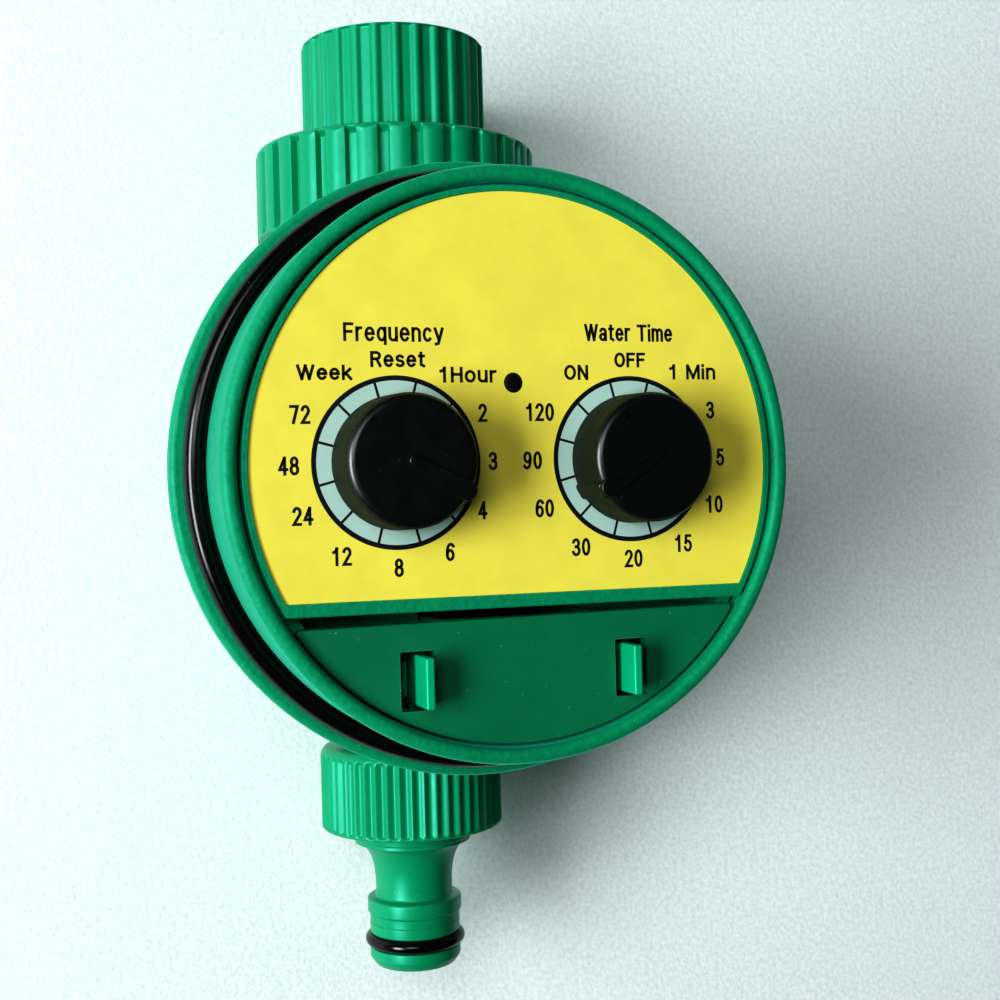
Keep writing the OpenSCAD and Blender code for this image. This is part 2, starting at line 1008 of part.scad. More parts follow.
module idler(at, wheel_teeth, wheel_phase, wheel_out, small_phase, small_out) {
    color(white)
        difference() {
            union() {
                gear_disc(wheel_out, gear_w, wheel_teeth, wheel_phase, at);
                gear_disc(small_out, wheel_out - small_out + 0.1, pinion_teeth, small_phase, at);
                disc(base_front + 0.2, top_plate - base_front - 0.4, 1.8, at);
            }
            disc(floor_out, 20, 0.87, at);
        }
}

module second_idler() {
    idler(second_at, second_teeth, second_wheel_phase, layer_2, second_pinion_phase, layer_1);
}

module first_idler() {
    idler(first_at, first_teeth, first_wheel_phase, layer_3, first_pinion_phase, layer_2);
}

module gear_pin(at) {
    color(steel)
        disc(floor_out + 0.7, top_plate + 0.8 - floor_out - 0.7, 0.8, at);
}

module second_pin() {
    gear_pin(second_at);
}

module first_pin() {
    gear_pin(first_at);
}

module motor() {
    color(steel)
        difference() {
            union() {
                disc(gearbox_front, 16, 8, motor_at);
                disc(gearbox_front - 1.4, 2, 2.8, motor_at);
            }
            disc(gearbox_front - 3, 16, 0.8, motor_at);
        }
    color(black)
        disc(gearbox_front + 15.9, 1.6, 7, motor_at);
}

module motor_shaft() {
    color(steel)
        disc(layer_3 - 0.4, gearbox_front + 12 - layer_3, 0.75, motor_at);
}

module motor_pinion() {
    color(brass_tone)
        difference() {
            gear_disc(layer_3, gear_w, pinion_teeth, motor_phase, motor_at);
            disc(layer_3 - 1, 6, 0.77, motor_at);
        }
}

module position_disc() {
    color(black)
        difference() {
            union() {
                disc(26.4, 0.8, 9);
                disc(25.8, 3, 5);
            }
            disc(25, 6, shaft_r + 0.02);
            for (i = [0 : 3])
                facing(26)
                    rotate(45 + 90 * i)
                        translate([7, -0.6, 0])
                            cube([4, 1.2, 2]);
        }
}

module position_sensor() {
    color(black)
        difference() {
            facing(24.4)
                translate([-15, -3, 0])
                    cube([8, 6, top_plate - 24.4]);
            facing(25.8)
                translate([-10.2, -4, 0])
                    cube([8, 8, 2]);
        }
}

module gearbox_screw(i) {
    color(steel)
        screw(gearbox_front, gearbox_front - 12.6, 1.05, 2.2, 1.6, pillar_at[i]);
}

// ---- drawing ----

rear_housing();
cover_seal();
casing_seal();
front_casing();
dial_panel();
frequency_knob();
frequency_shaft();
frequency_switch();
water_time_knob();
water_time_shaft();
water_time_switch();
circuit_board();
controller_chip();
driver_chip();
capacitor();
motor_socket();
indicator_lamp();
board_screw(0);  // board_screw_1
board_screw(1);  // board_screw_2
board_screw(2);  // board_screw_3
battery_tray();
latch_left();
latch_right();
battery_1();
battery_2();
bridge_contact();
terminal_1();
terminal_2();
tap_adaptor();
tap_washer();
inlet_nut();
inlet_washer();
inlet_filter();
seat_retainer();
upper_seat();
lower_seat();
valve_ball();
valve_stem();
stem_seal_inner();
stem_seal_outer();
outlet_washer();
hose_connector();
nozzle_seal();
gearbox_base();
gearbox_cover();
output_gear();
second_idler();
first_idler();
second_pin();
first_pin();
motor();
motor_shaft();
motor_pinion();
position_disc();
position_sensor();
gearbox_screw(0);  // gearbox_screw_1
gearbox_screw(1);  // gearbox_screw_2
gearbox_screw(2);  // gearbox_screw_3
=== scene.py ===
"""Looks for a battery watering timer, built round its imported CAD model.

Shapes are worked out in millimetres and made in metres.  X runs across the face, Z up the water pipe,
and a distance "out" is measured from the pipe's axis towards the viewer, so it is minus Y.
"""

from math import asin, atan2, ceil, cos, degrees, hypot, radians, sin, sqrt, tan, tau

import bmesh
import bpy
from mathutils import Matrix, Quaternion, Vector


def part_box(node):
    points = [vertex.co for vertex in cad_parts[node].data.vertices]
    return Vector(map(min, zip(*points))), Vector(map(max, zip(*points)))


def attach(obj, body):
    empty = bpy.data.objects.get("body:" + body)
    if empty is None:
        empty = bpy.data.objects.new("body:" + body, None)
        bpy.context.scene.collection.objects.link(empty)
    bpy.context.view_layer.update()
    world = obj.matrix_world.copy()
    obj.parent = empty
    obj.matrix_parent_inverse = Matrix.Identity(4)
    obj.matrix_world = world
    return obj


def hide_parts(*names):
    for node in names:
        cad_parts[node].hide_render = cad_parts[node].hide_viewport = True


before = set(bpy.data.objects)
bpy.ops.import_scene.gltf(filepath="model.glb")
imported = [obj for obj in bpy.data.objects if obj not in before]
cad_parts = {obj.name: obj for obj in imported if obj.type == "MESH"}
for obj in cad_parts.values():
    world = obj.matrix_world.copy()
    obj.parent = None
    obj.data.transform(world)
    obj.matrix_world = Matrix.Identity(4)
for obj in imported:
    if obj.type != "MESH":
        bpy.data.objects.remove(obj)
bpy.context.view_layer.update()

MM = 0.001
TURN = tau


def span(node):
    """Lowest and highest corner of a CAD node at rest, in millimetres."""
    low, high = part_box(node)
    return low / MM, high / MM


def middle(node):
    """The middle of a CAD node, across and up from the middle of the face."""
    low, high = span(node)
    return (low.x + high.x) / 2, (low.z + high.z) / 2 - drum_z


# ---- sizes from the frame ----

DIALS = ("frequency", "water_time")

seal_low, seal_high = span("cover_seal")
panel_low, panel_high = span("dial_panel")
casing_low, casing_high = span("front_casing")
housing_low, housing_high = span("rear_housing")
tray_low, tray_high = span("battery_tray")
adaptor_low, adaptor_high = span("tap_adaptor")
nut_low, nut_high = span("inlet_nut")
connector_low, connector_high = span("hose_connector")
shaft_low, shaft_high = span("frequency_shaft")
knob_low, knob_high = span("frequency_knob")

drum_z = (seal_low.z + seal_high.z) / 2
seal_cord = (seal_high.y - seal_low.y) / 2
seal_r = seal_high.x - seal_cord
seal_out = -(seal_low.y + seal_high.y) / 2

flange_r = housing_high.x
wall_front = -housing_low.y
wall_r = seal_r - seal_cord + 0.5
wall_in = casing_high.x + 0.2
shell_r = wall_r - 1
shell_in = shell_r - 2.3
flange_front = seal_out - seal_cord - 0.15
flange_back = flange_front - 3.8
drum_back = 12.5
floor_out = 15
ledge_out = 50

panel_r = panel_high.x
face_out = -panel_low.y
panel_back = -panel_high.y
chord = drum_z - panel_low.z
rim_r = casing_high.x - 0.25
rim_out = -casing_low.y
past_face = 64
plate_back = panel_back - 2
bar_low = chord + 1.8

cover_out = -tray_low.y
cover_r = drum_z - tray_low.z + 0.3
cover_t = 2.2
cover_top = drum_z - tray_high.z + 0.2
cover_tilt = 0.6
slot_shift = 0.3
pivot_across = 14
pivot_out = 55
box_half, box_low, box_top = 12.2, -33.9, -21.1
room_half, room_low, room_top = box_half + 0.3, box_low - 0.3, box_top + 0.55
tunnel_half, tunnel_low, tunnel_top = room_half + 1.2, room_low - 1.2, room_top + 1.2

dial_at = {dial: middle(dial + "_shaft") for dial in DIALS}
knob_back = -knob_high.y
knob_r = 9.0
ridge_h = 0.42
knob_h = -knob_low.y - knob_back - ridge_h
shaft_r = (shaft_high.z - shaft_low.z) / 2
lamp_at = middle("indicator_lamp")
lamp_r = 1.3

adaptor_r = adaptor_high.x
nut_r = nut_high.x
connector_r = connector_high.x
connector_top = connector_high.z
grip_low = connector_top - 14.6
nozzle_end = connector_low.z
spigot_top = housing_high.z
outlet_r = 12
outlet_end = housing_low.z

G34_PITCH = 1.814
G1_PITCH = 2.309


# ---- outlines and placing ----


def on_pipe(x, y, height):
    """A point in a frame whose third axis runs up the water pipe."""
    return Vector((x, y, height))


def on_face(across=0.0, up=0.0):
    """Places points in a frame on the face, whose third axis comes out towards the viewer."""

    def place(x, y, out):
        return Vector((across + x, -out, drum_z + up + y))

    return place


def rounded(corners, closed=True, step=15):
    """A path through corners (x, y) or (x, y, radius), the latter turned into arcs."""
    path = []
    for i, corner in enumerate(corners):
        here = Vector(corner[:2])
        radius = corner[2] if len(corner) > 2 else 0
        at_end = not closed and i in (0, len(corners) - 1)
        if radius == 0 or at_end:
            path.append(here)
            continue
        before = (Vector(corners[i - 1][:2]) - here).normalized()
        after = (Vector(corners[(i + 1) % len(corners)][:2]) - here).normalized()
        half = before.angle(after) / 2
        centre = here + (before + after).normalized() * (radius / sin(half))
        start = here + before * (radius / tan(half)) - centre
        sweep = start.angle_signed(here + after * (radius / tan(half)) - centre)
        steps = max(2, ceil(abs(degrees(sweep)) / step))
        for k in range(steps + 1):
            path.append(centre + Matrix.Rotation(-sweep * k / steps, 2) @ start)
    return path


def wall(radius, start, end, spacing):
    """Points along a straight wall, for a turned shape that changes on the way."""
    count = max(1, round(abs(end - start) / spacing))
    return [(radius, start + (end - start) * k / count) for k in range(count + 1)]


def arc(cx, cy, radius, start, end, steps):
    """Points on an arc between two angles in degrees."""
    angles = [radians(start + (end - start) * k / steps) for k in range(steps + 1)]
    return [Vector((cx + radius * cos(a), cy + radius * sin(a))) for a in angles]


def segment(radius, level, above, corner, tilt=0.0):
    """The part of a disc above or below a level, turned by a tilt, as an outline for each inset."""
    sign = 1 if above else -1
    spin = Matrix.Rotation(radians(tilt), 2)

    def outline(inset):
        r = radius - inset
        base = sign * level + inset
        small = max(corner - inset, 0.02)
        middle = base + small
        reach = sqrt((r - small) ** 2 - middle**2)
        turn = degrees(atan2(middle, reach))
        points = arc(reach, middle, small, -90, turn, 6)
        points += arc(0, 0, r, turn, 180 - turn, 150)[1:-1]
        points += arc(-reach, middle, small, 180 - turn, 270, 6)
        return [spin @ Vector((p.x, sign * p.y)) for p in points]

    return outline


def rectangle(left, right, low, high, corner):
    """A rectangle with rounded corners, as an outline for each inset."""

    def outline(inset):
        small = max(corner - inset, 0.02)
        x0, x1 = left + inset + small, right - inset - small
        y0, y1 = low + inset + small, high - inset - small
        points = arc(x1, y1, small, 0, 90, 5) + arc(x0, y1, small, 90, 180, 5)
        return points + arc(x0, y0, small, 180, 270, 5) + arc(x1, y0, small, 270, 360, 5)

    return outline


def disc(radius, at=(0, 0), steps=96):
    """A circle, as an outline for each inset."""

    def outline(inset):
        return arc(at[0], at[1], radius - inset, 0, 360 - 360 / steps, steps - 1)

    return outline


def tapered_bar(length, narrow, wide, turn):
    """The hull of a small circle at the middle and a larger one at a length, turned clockwise."""

    def outline(inset):
        lean = degrees(asin((wide - narrow) / length))
        points = arc(0, length, wide - inset, -lean, 180 + lean, 10)
        points += arc(0, 0, narrow - inset, 180 + lean, 360 - lean, 8)
        spin = Matrix.Rotation(radians(turn), 2)
        return [spin @ p for p in points]

    return outline


# ---- meshes ----


def bridge(bm, rings, closed=False):
    """Faces between each ring of points and the next, and between the last and the first if closed."""
    pairs = list(zip(rings, rings[1:]))
    if closed:
        pairs.append((rings[-1], rings[0]))
    for one, two in pairs:
        for k in range(len(one)):
            after = (k + 1) % len(one)
            bm.faces.new((one[k], one[after], two[after], two[k]))


def mesh_object(name, bm, weld=True):
    """A new object from a closed bmesh, with its normals outwards."""
    if weld:
        bmesh.ops.remove_doubles(bm, verts=bm.verts, dist=1e-7)
    bmesh.ops.recalc_face_normals(bm, faces=bm.faces)
    mesh = bpy.data.meshes.new(name)
    bm.to_mesh(mesh)
    bm.free()
    obj = bpy.data.objects.new(name, mesh)
    bpy.context.scene.collection.objects.link(obj)
    return obj


def turned(name, path, place=on_pipe, steps=192, closed=True, shape=None):
    """A solid turned about the third axis. shape(radius, height, angle) may change a point's radius."""
    bm = bmesh.new()
    rings = []
    for radius, height in path:
        if radius < 1e-6:
            rings.append([bm.verts.new(place(0, 0, height) * MM)])
            continue
        ring = []
        for k in range(steps):
            angle = TURN * k / steps
            reach = shape(radius, height, angle) if shape else radius
            point = place(reach * cos(angle), reach * sin(angle), height)
            ring.append(bm.verts.new(point * MM))
        rings.append(ring)
    pairs = list(zip(rings, rings[1:]))
    if closed:
        pairs.append((rings[-1], rings[0]))
    for one, two in pairs:
        for k in range(steps):
            after = (k + 1) % steps
            near = [one[0]] if len(one) == 1 else [one[k], one[after]]
            far = [two[0]] if len(two) == 1 else [two[after], two[k]]
            if len(near) + len(far) > 2:
                bm.faces.new(near + far)
    return mesh_object(name, bm)


def raised(name, outline, low, high, place, edge=0.3, back_edge=0.0):
    """A flat piece of one outline, its front edge rounded, and its back edge too if asked."""
    loops = [(0.0, low)]
    quarter = [radians(a) for a in (0, 30, 60, 90)]
    if back_edge:
        loops = [(back_edge * (1 - sin(a)), low + back_edge * (1 - cos(a))) for a in quarter]
    if edge:
        loops += [(edge * (1 - cos(a)), high - edge + edge * sin(a)) for a in quarter]
    else:
        loops.append((0.0, high))
    bm = bmesh.new()
    rings = [
        [bm.verts.new(place(p.x, p.y, level) * MM) for p in outline(inset)]
        for inset, level in loops
    ]
    bm.faces.new(rings[0])
    bm.faces.new(rings[-1])
    bridge(bm, rings)
    return mesh_object(name, bm)


def block(left, right, low, high, back, front, edge=0.4):
    """A box on the face with all its edges rounded."""
    corner = max(edge, 0.05)
    return raised("block", rectangle(left, right, low, high, corner), back, front, on_face(), edge, edge)


def side_block(s, inner, outer, *rest):
    """A block between two distances from the face's middle, on its left (s = -1) or its right (s = 1)."""
    left, right = sorted((s * inner, s * outer))
    return block(left, right, *rest)


def apply_modifiers(obj):
    """Makes what an object's modifiers give its own mesh."""
    mesh = bpy.data.meshes.new_from_object(obj.evaluated_get(bpy.context.evaluated_depsgraph_get()))
    obj.modifiers.clear()
    obj.data = mesh


def combined(base, operation, *tools):
    """base joined with, or cut by, the tools, which are used up."""
    for tool in tools:
        modifier = base.modifiers.new("combine", "BOOLEAN")
        modifier.operation = operation
        modifier.solver = "EXACT"
        modifier.object = tool
    apply_modifiers(base)
    for tool in tools:
        bpy.data.objects.remove(tool)
    return base


def thread(crest, depth, pitch, low, high):
    """Winds a right-hand thread into a turned wall of radius crest. A negative depth cuts outwards."""

    def shape(radius, height, angle):
        if abs(radius - crest) > 0.01 or not low < height < high:
            return radius
        phase = abs((height / pitch - angle / TURN) % 1 - 0.5)
        tooth = min(1, max(0, (0.42 - phase) / 0.17))
        fade = min(1, (height - low) / pitch, (high - height) / pitch)
        return radius - depth * (1 - tooth) * fade

    return shape


def eased(share):
    """A share kept between 0 and 1 that starts and ends gently."""
    share = min(1, max(0, share))
    return share * share * (3 - 2 * share)


def ribs(count, low, high, fade, groove):
    """Grooves between a turned wall's ribs. groove gives the radius at a share of a pitch off a rib."""

    def shape(radius, height, angle):
        if not low < height < high:
            return radius
        share = abs((angle * count / TURN + 0.5) % 1 - 0.5)
        strength = eased(min((height - low) / fade, (high - height) / fade))
        return min(radius, radius + (groove(share) - radius) * strength)

    return shape


def piece(obj, body, material, slot, *nodes, sharp=32):
    """Finishes a mesh: material, shading, the body it rides on and the CAD nodes it stands for."""
    if material:
        obj.data.materials.clear()
        obj.data.materials.append(material)
    obj.data.shade_smooth()
    obj.data.set_sharp_from_angle(angle=radians(sharp))
    normals = obj.modifiers.new("normals", "WEIGHTED_NORMAL")
    normals.keep_sharp = True
    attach(obj, body)
    if nodes:
        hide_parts(*nodes)
    return obj


# ---- materials ----


class Shader:
    """A Principled material and the nodes that feed it."""

    def __init__(self, name, roughness=0.5, **settings):
        self.material = bpy.data.materials.new(name)
        self.material.use_nodes = True
        self.tree = self.material.node_tree
        self.surface = self.tree.nodes["Principled BSDF"]
        self.surface.inputs["Roughness"].default_value = roughness
        for socket, value in settings.items():
            self.surface.inputs[socket.replace("_", " ")].default_value = value
        self.place = self.node("ShaderNodeTexCoord").outputs["Object"]

    def node(self, kind, inputs=None, **settings):
        """A new node with its settings, and its inputs set or linked."""
        made = self.tree.nodes.new(kind)
        for setting, value in settings.items():
            setattr(made, setting, value)
        for socket, value in (inputs or {}).items():
            if isinstance(value, bpy.types.NodeSocket):
                self.tree.links.new(value, made.inputs[socket])
            else:
                made.inputs[socket].default_value = value
        return made

    def noise(self, size, detail=3.0, stretch=None, roughness=0.55):
        """Noise whose features are about a size in millimetres, stretched along an axis if asked."""
        place = self.place
        if stretch:
            place = self.node("ShaderNodeMapping", {"Vector": place, "Scale": stretch}).outputs[0]
        inputs = {"Vector": place, "Scale": 1 / (size * MM), "Detail": detail, "Roughness": roughness}
        return self.node("ShaderNodeTexNoise", inputs).outputs["Fac"]

    def between(self, value, low, high, to_low=0.0, to_high=1.0):
        """A value's range from low to high, mapped on to another range and clamped."""
        inputs = {"Value": value, "From Min": low, "From Max": high, "To Min": to_low, "To Max": to_high}
        return self.node("ShaderNodeMapRange", inputs).outputs[0]

    def mixed(self, share, one, two):
        """One colour turning into another by a share. A colour is three numbers or a socket."""
        one, two = (c if isinstance(c, bpy.types.NodeSocket) else (*c, 1) for c in (one, two))
        return self.node("ShaderNodeMix", {0: share, 6: one, 7: two}, data_type="RGBA").outputs[2]

    def times(self, one, two):
        """Two values multiplied."""
        return self.node("ShaderNodeMath", {0: one, 1: two}, operation="MULTIPLY").outputs[0]

    def feed(self, socket, value):
        """Links a value to one of the surface's sockets."""
        self.tree.links.new(value, self.surface.inputs[socket])

    def bumps(self, *layers):
        """Layers of bump, each a height, its depth in millimetres and a strength, one on another."""
        normal = None
        for height, depth, strength in layers:
            inputs = {"Height": height, "Distance": depth * MM, "Strength": strength}
            if normal:
                inputs["Normal"] = normal
            normal = self.node("ShaderNodeBump", inputs).outputs[0]
        self.feed("Normal", normal)

    def worn_edges(self, radius=0.3):
        """A share that rises close to an edge, where handling polishes and pales a surface."""
        soft = self.node("ShaderNodeBevel", {"Radius": radius * MM}, samples=4).outputs[0]
        true = self.node("ShaderNodeNewGeometry").outputs["Normal"]
        facing = self.node("ShaderNodeVectorMath", {0: soft, 1: true}, operation="DOT_PRODUCT")
        return self.between(facing.outputs["Value"], 0.98, 0.80)


def shade(colour, factor):
    """A colour made darker or lighter."""
    return tuple(min(1, c * factor) for c in colour)


def moulded(name, colour, roughness, grain_size=0.8, grain=0.06, dust=0.25, edge=0.05, scratches=0.0,
            **settings):
    """Moulded plastic: cloudy colour, grain with dark pits, pale worn edges, scratches and dust."""
    s = Shader(name, roughness, **settings)
    clouds = s.between(s.noise(14, 4), 0.3, 0.7)
    base = s.mixed(clouds, shade(colour, 0.92), shade(colour, 1.06))
    flow = s.between(s.noise(3.5, 3, (1, 1, 0.25)), 0.35, 0.65)
    base = s.mixed(s.times(flow, 0.12), base, shade(colour, 0.8))
    pits = s.between(s.noise(grain_size, 2), 0.45, 0.6)
    base = s.mixed(s.times(pits, 0.3 * grain), base, shade(colour, 0.6))
    base = s.mixed(s.times(s.worn_edges(), edge), base, tuple(c * 0.6 + 0.3 for c in colour))
    specks = s.between(s.noise(0.55, 1), 0.77, 0.81)
    base = s.mixed(s.times(specks, dust), base, (0.55, 0.6, 0.56))
    s.feed("Base Color", base)
    s.feed("Roughness", s.between(s.noise(2.2, 5), 0.3, 0.7, roughness * 0.9, roughness * 1.15))
    layers = [(s.noise(grain_size, 2), 0.12 * grain_size, grain), (s.noise(6, 2), 0.05, 0.05)]
    if scratches:
        lines = s.between(s.noise(0.35, 1, (1, 1, 0.02)), 0.62, 0.7)
        layers.append((lines, -0.01, scratches))
    s.bumps(*layers)
    return s.material


def printed(name, colour, roughness, grain=0.05):
    """Printed film or ink: nearly even colour with a faint mottle."""
    s = Shader(name, roughness)
    mottle = s.between(s.noise(5, 4), 0.3, 0.7)
    fine = s.between(s.noise(0.3, 2), 0.35, 0.65)
    base = s.mixed(mottle, shade(colour, 0.96), shade(colour, 1.04))
    s.feed("Base Color", s.mixed(s.times(fine, 0.05), base, shade(colour, 0.85)))
    s.feed("Roughness", s.between(s.noise(1.5, 3), 0.3, 0.7, roughness - 0.04, roughness + 0.05))
    s.bumps((s.noise(0.25, 2), 0.01, grain), (s.noise(9, 1), 0.05, 0.04))
    return s.material


def rubber(name):
    """Black rubber with a soft gloss and settled dust."""
    s = Shader(name, 0.22, Specular_IOR_Level=0.4)
    base = s.mixed(s.between(s.noise(6, 4), 0.3, 0.7), (0.0015, 0.002, 0.002), (0.003, 0.0035, 0.0035))
    specks = s.between(s.noise(0.4, 2), 0.72, 0.8)
    s.feed("Base Color", s.mixed(s.times(specks, 0.35), base, (0.25, 0.25, 0.23)))
    s.feed("Roughness", s.between(s.noise(1.8, 4), 0.3, 0.7, 0.16, 0.24))
    s.bumps((s.noise(0.3, 2), 0.02, 0.1))
    return s.material


def metal(name, colour, roughness, brushed=(1, 1, 1), tint=0.85):
    """Bare or plated metal with fine directional marks and dull patches."""
    s = Shader(name, roughness, Metallic=1.0)
    patches = s.between(s.noise(3, 5), 0.3, 0.7)
    s.feed("Base Color", s.mixed(patches, shade(colour, tint), colour))
    marks = s.noise(0.25, 3, brushed)
    s.feed("Roughness", s.between(marks, 0.3, 0.7, roughness - 0.08, roughness + 0.12))
    s.bumps((marks, 0.01, 0.15))
    return s.material


def solder_mask(name):
    """A circuit board: green mask over copper tracks and pads."""
    s = Shader(name, 0.3, Coat_Weight=0.3)
    inputs = {"Vector": s.place, "Scale": 1 / (2.2 * MM)}
    cells = s.node("ShaderNodeTexVoronoi", inputs, distance="CHEBYCHEV")
    tracks = s.between(cells.outputs["Distance"], 0.42, 0.46)
    base = s.mixed(tracks, (0.01, 0.10, 0.045), (0.015, 0.19, 0.08))
    pads = s.between(s.noise(1.6, 0), 0.72, 0.74)
    s.feed("Base Color", s.mixed(pads, base, (0.6, 0.55, 0.4)))
    s.bumps((tracks, 0.03, 0.4))
    return s.material


GREEN = (0.001, 0.29, 0.132)
COVER_GREEN = (0.001, 0.20, 0.092)
# The latch tabs' colour is the body's green plastic painted lighter: painted light from their lit sides
LATCH_GREEN_PAINTED_LIGHT = (0.002, 0.42, 0.21)
YELLOW = (0.92, 0.80, 0.12)

GLOSS = {"Specular_Tint": (0.25, 1.0, 0.9, 1.0), "Specular_IOR_Level": 0.8}
wall_green = moulded("wall_green", GREEN, 0.55, grain=1.0, edge=0.06, Sheen_Weight=0.5,
                     Sheen_Roughness=0.4, Sheen_Tint=(0.05, 0.95, 0.75, 1.0), **GLOSS)
smooth_green = moulded("smooth_green", GREEN, 0.38, edge=0.03, **GLOSS)
latch_green_painted_light = moulded("latch_green_painted_light", LATCH_GREEN_PAINTED_LIGHT, 0.38, **GLOSS)
cover_green = moulded("cover_green", COVER_GREEN, 0.42, grain_size=0.25, grain=0.12, edge=0.2,
                      scratches=0.1)
panel_yellow = printed("panel_yellow", YELLOW, 0.42)
ring_blue = printed("ring_blue", (0.47, 0.65, 0.59), 0.5)
ink_black = printed("ink_black", (0.006, 0.006, 0.007), 0.5)
knob_black = moulded("knob_black", (0.003, 0.0033, 0.0034), 0.33, grain_size=0.5, grain=0.02, dust=0.1,
                     edge=0.0, Specular_IOR_Level=0.75)
# Satin black for the knobs' sides, tinted olive green: the tint is a painted reflection of the yellow panel
knob_satin_painted_reflection = moulded("knob_satin_painted_reflection", (0.010, 0.018, 0.009), 0.62, grain_size=0.5, grain=0.1, dust=0.1,
                     edge=0.0, Specular_IOR_Level=0.3)
part_black = moulded("part_black", (0.012, 0.012, 0.013), 0.42, grain_size=0.3, grain=0.15, edge=0.02)
acetal = moulded("acetal", (0.80, 0.80, 0.75), 0.36, grain_size=0.6, grain=0.05, dust=0.05, edge=0.1)
seal_black = rubber("seal_black")
plated_steel = metal("plated_steel", (0.62, 0.63, 0.65), 0.3)
brass_tone = metal("brass_tone", (0.75, 0.55, 0.25), 0.28)
polished_ball = metal("polished_ball", (0.72, 0.73, 0.75), 0.14)
copper_wrap = metal("copper_wrap", (0.72, 0.42, 0.16), 0.25)
cell_wrap = printed("cell_wrap", (0.01, 0.012, 0.014), 0.28)
board_green = solder_mask("board_green")


# ---- drum and pipe ----


def drum():
    """The drum's wall, flange and floor, turned about the face's axis."""
    groove_r = wall_r - 0.6
    groove_end = flange_front + 2 * seal_cord + 0.6
    path = rounded([
        (0, drum_back), (shell_r, drum_back, 4.5), (shell_r, flange_back, 0.5),
        (flange_r, flange_back, 0.9), (flange_r, flange_front, 0.9), (groove_r, flange_front, 0.2),
        (groove_r, groove_end, 0.2), (wall_r, groove_end + 0.6, 0.3), (wall_r, wall_front, 1.15),
        (wall_in, wall_front, 0.95), (wall_in, ledge_out, 0.1), (shell_in, ledge_out, 0.2),
        (shell_in, floor_out, 3), (0, floor_out),
    ], closed=False)
    return turned("drum_and_pipe", path, on_face(), 256, closed=False)


def pipe():
    """The outside of the water pipe, with the flange that the nut holds and the outlet's thread."""
    path = rounded([
        (0, spigot_top), (14.4, spigot_top, 0.4), (14.4, spigot_top - 2.5, 0.3),
        (12.4, spigot_top - 2.5, 0.3), (12.4, -36.5, 1.2), (14.5, -39, 1.2), (14.5, drum_z - 12.3, 2),
        (10.2, drum_z - 17, 2), (10.2, -115, 2), (14, -118, 0.6), (14, -120, 0.5), (outlet_r, -120, 0.2),
    ], closed=False)
    path += wall(outlet_r, -120.4, outlet_end + 0.5, 0.16)
    path += [(outlet_r - 0.4, outlet_end), (0, outlet_end)]
    shape = thread(outlet_r, 0.9, G34_PITCH, outlet_end + 0.4, -120.5)
    return turned("pipe", path, steps=128, closed=False, shape=shape)


def bore(radius, top, bottom):
    """A round hole along the pipe."""
    return raised("bore", disc(radius, steps=128), bottom, top, on_pipe, 0)


def drum_and_pipe():
    """The housing: drum and pipe in one, with the webs and the battery bay between them, bored through."""
    boss = raised("boss", disc(7), 13, 17.6, on_face(), 0.4)
    bay_half = tunnel_half + 1.6
    bay = block(-bay_half, bay_half, tunnel_low - 1.5, -16.4, 9.4, 15.1, 1.2)
    webs = [side_block(s, 11, 27, z - 1, z + 1, 6, 14, 0.4) for z in (-8, 9) for s in (-1, 1)]
    body = combined(drum(), "UNION", pipe(), bay, boss, *webs)
    chamber = bore(10.2, spigot_top + 1, drum_z - 9.9)
    outlet = bore(6.8, drum_z, outlet_end - 1)
    stem = raised("stem", disc(4.05), 0, 19, on_face(), 0)
    tube_half = tunnel_half + 0.3
    tube = block(-tube_half, tube_half, tunnel_low - 0.3, -16.8, 11.2, 19, 0.3)
    combined(body, "DIFFERENCE", chamber, outlet, stem, tube)
    return piece(body, "timer_body", wall_green, "green_plastic", "rear_housing")


def cover_seal():
    """The black ring on the flange, with the fine line where its mould parted."""
    steps = 40
    flash = 0.03
    path = []
    for k in range(steps):
        angle = TURN * k / steps
        at_line = k in (0, steps // 2)
        reach = seal_cord if at_line else seal_cord - flash
        path.append((seal_r + reach * cos(angle), seal_out + (seal_cord - flash) * sin(angle)))
    ring = turned("seal_ring", path, on_face(), 256)
    return piece(ring, "timer_body", seal_black, "black_rubber", "cover_seal")


# ---- face ----


def face_holes(clearance, back):
    """Tools for the holes that the lamp and the two shafts come through."""
    spots = [(lamp_r + 0.1, lamp_at)] + [(shaft_r + clearance, at) for at in dial_at.values()]
    return [raised("hole", disc(radius, at), back, past_face, on_face(), 0) for radius, at in spots]


def casing():
    """The inner face: rim and bar round the panel, the skirt behind them and the battery tunnel."""
    place = on_face()
    front = raised("casing", segment(rim_r, -bar_low, True, 0.25), plate_back, rim_out, place, 0.28)
    recess = segment(panel_r + 0.05, -chord - 0.05, True, 0.05)
    combined(front, "DIFFERENCE", raised("recess", recess, panel_back, past_face, place, 0))
    skirt_back = ledge_out + 0.8
    skirt_front = plate_back + 0.2
    skirt_in = rim_r - 1.6
    profile = [(rim_r, skirt_back), (rim_r, skirt_front), (skirt_in, skirt_front), (skirt_in, skirt_back)]
    skirt = turned("skirt", profile, place)
    shelf = raised("shelf", segment(rim_r - 0.5, 0.5 - bar_low, False, 0.1), skirt_back, 52, place, 0)
    behind_bar = block(-33, 33, -bar_low, -bar_low + 1.4, skirt_back, plate_back + 0.5, 0.1)
    tunnel = block(-tunnel_half, tunnel_half, tunnel_low, tunnel_top, 11.4, 52, 0.5)
    catches = [side_block(s, 16.6, 18, -32.6, -25.6, 51.8, 57.2, 0.2) for s in (-1, 1)]
    combined(front, "UNION", skirt, shelf, behind_bar, tunnel, *catches)
    inside = block(-room_half, room_half, room_low, room_top, 12.4, past_face + 2, 0.2)
    combined(front, "DIFFERENCE", inside, *face_holes(0.5, plate_back - 1))
    front.name = "face_casing"
    return piece(front, "timer_body", wall_green, "green_plastic", "front_casing")


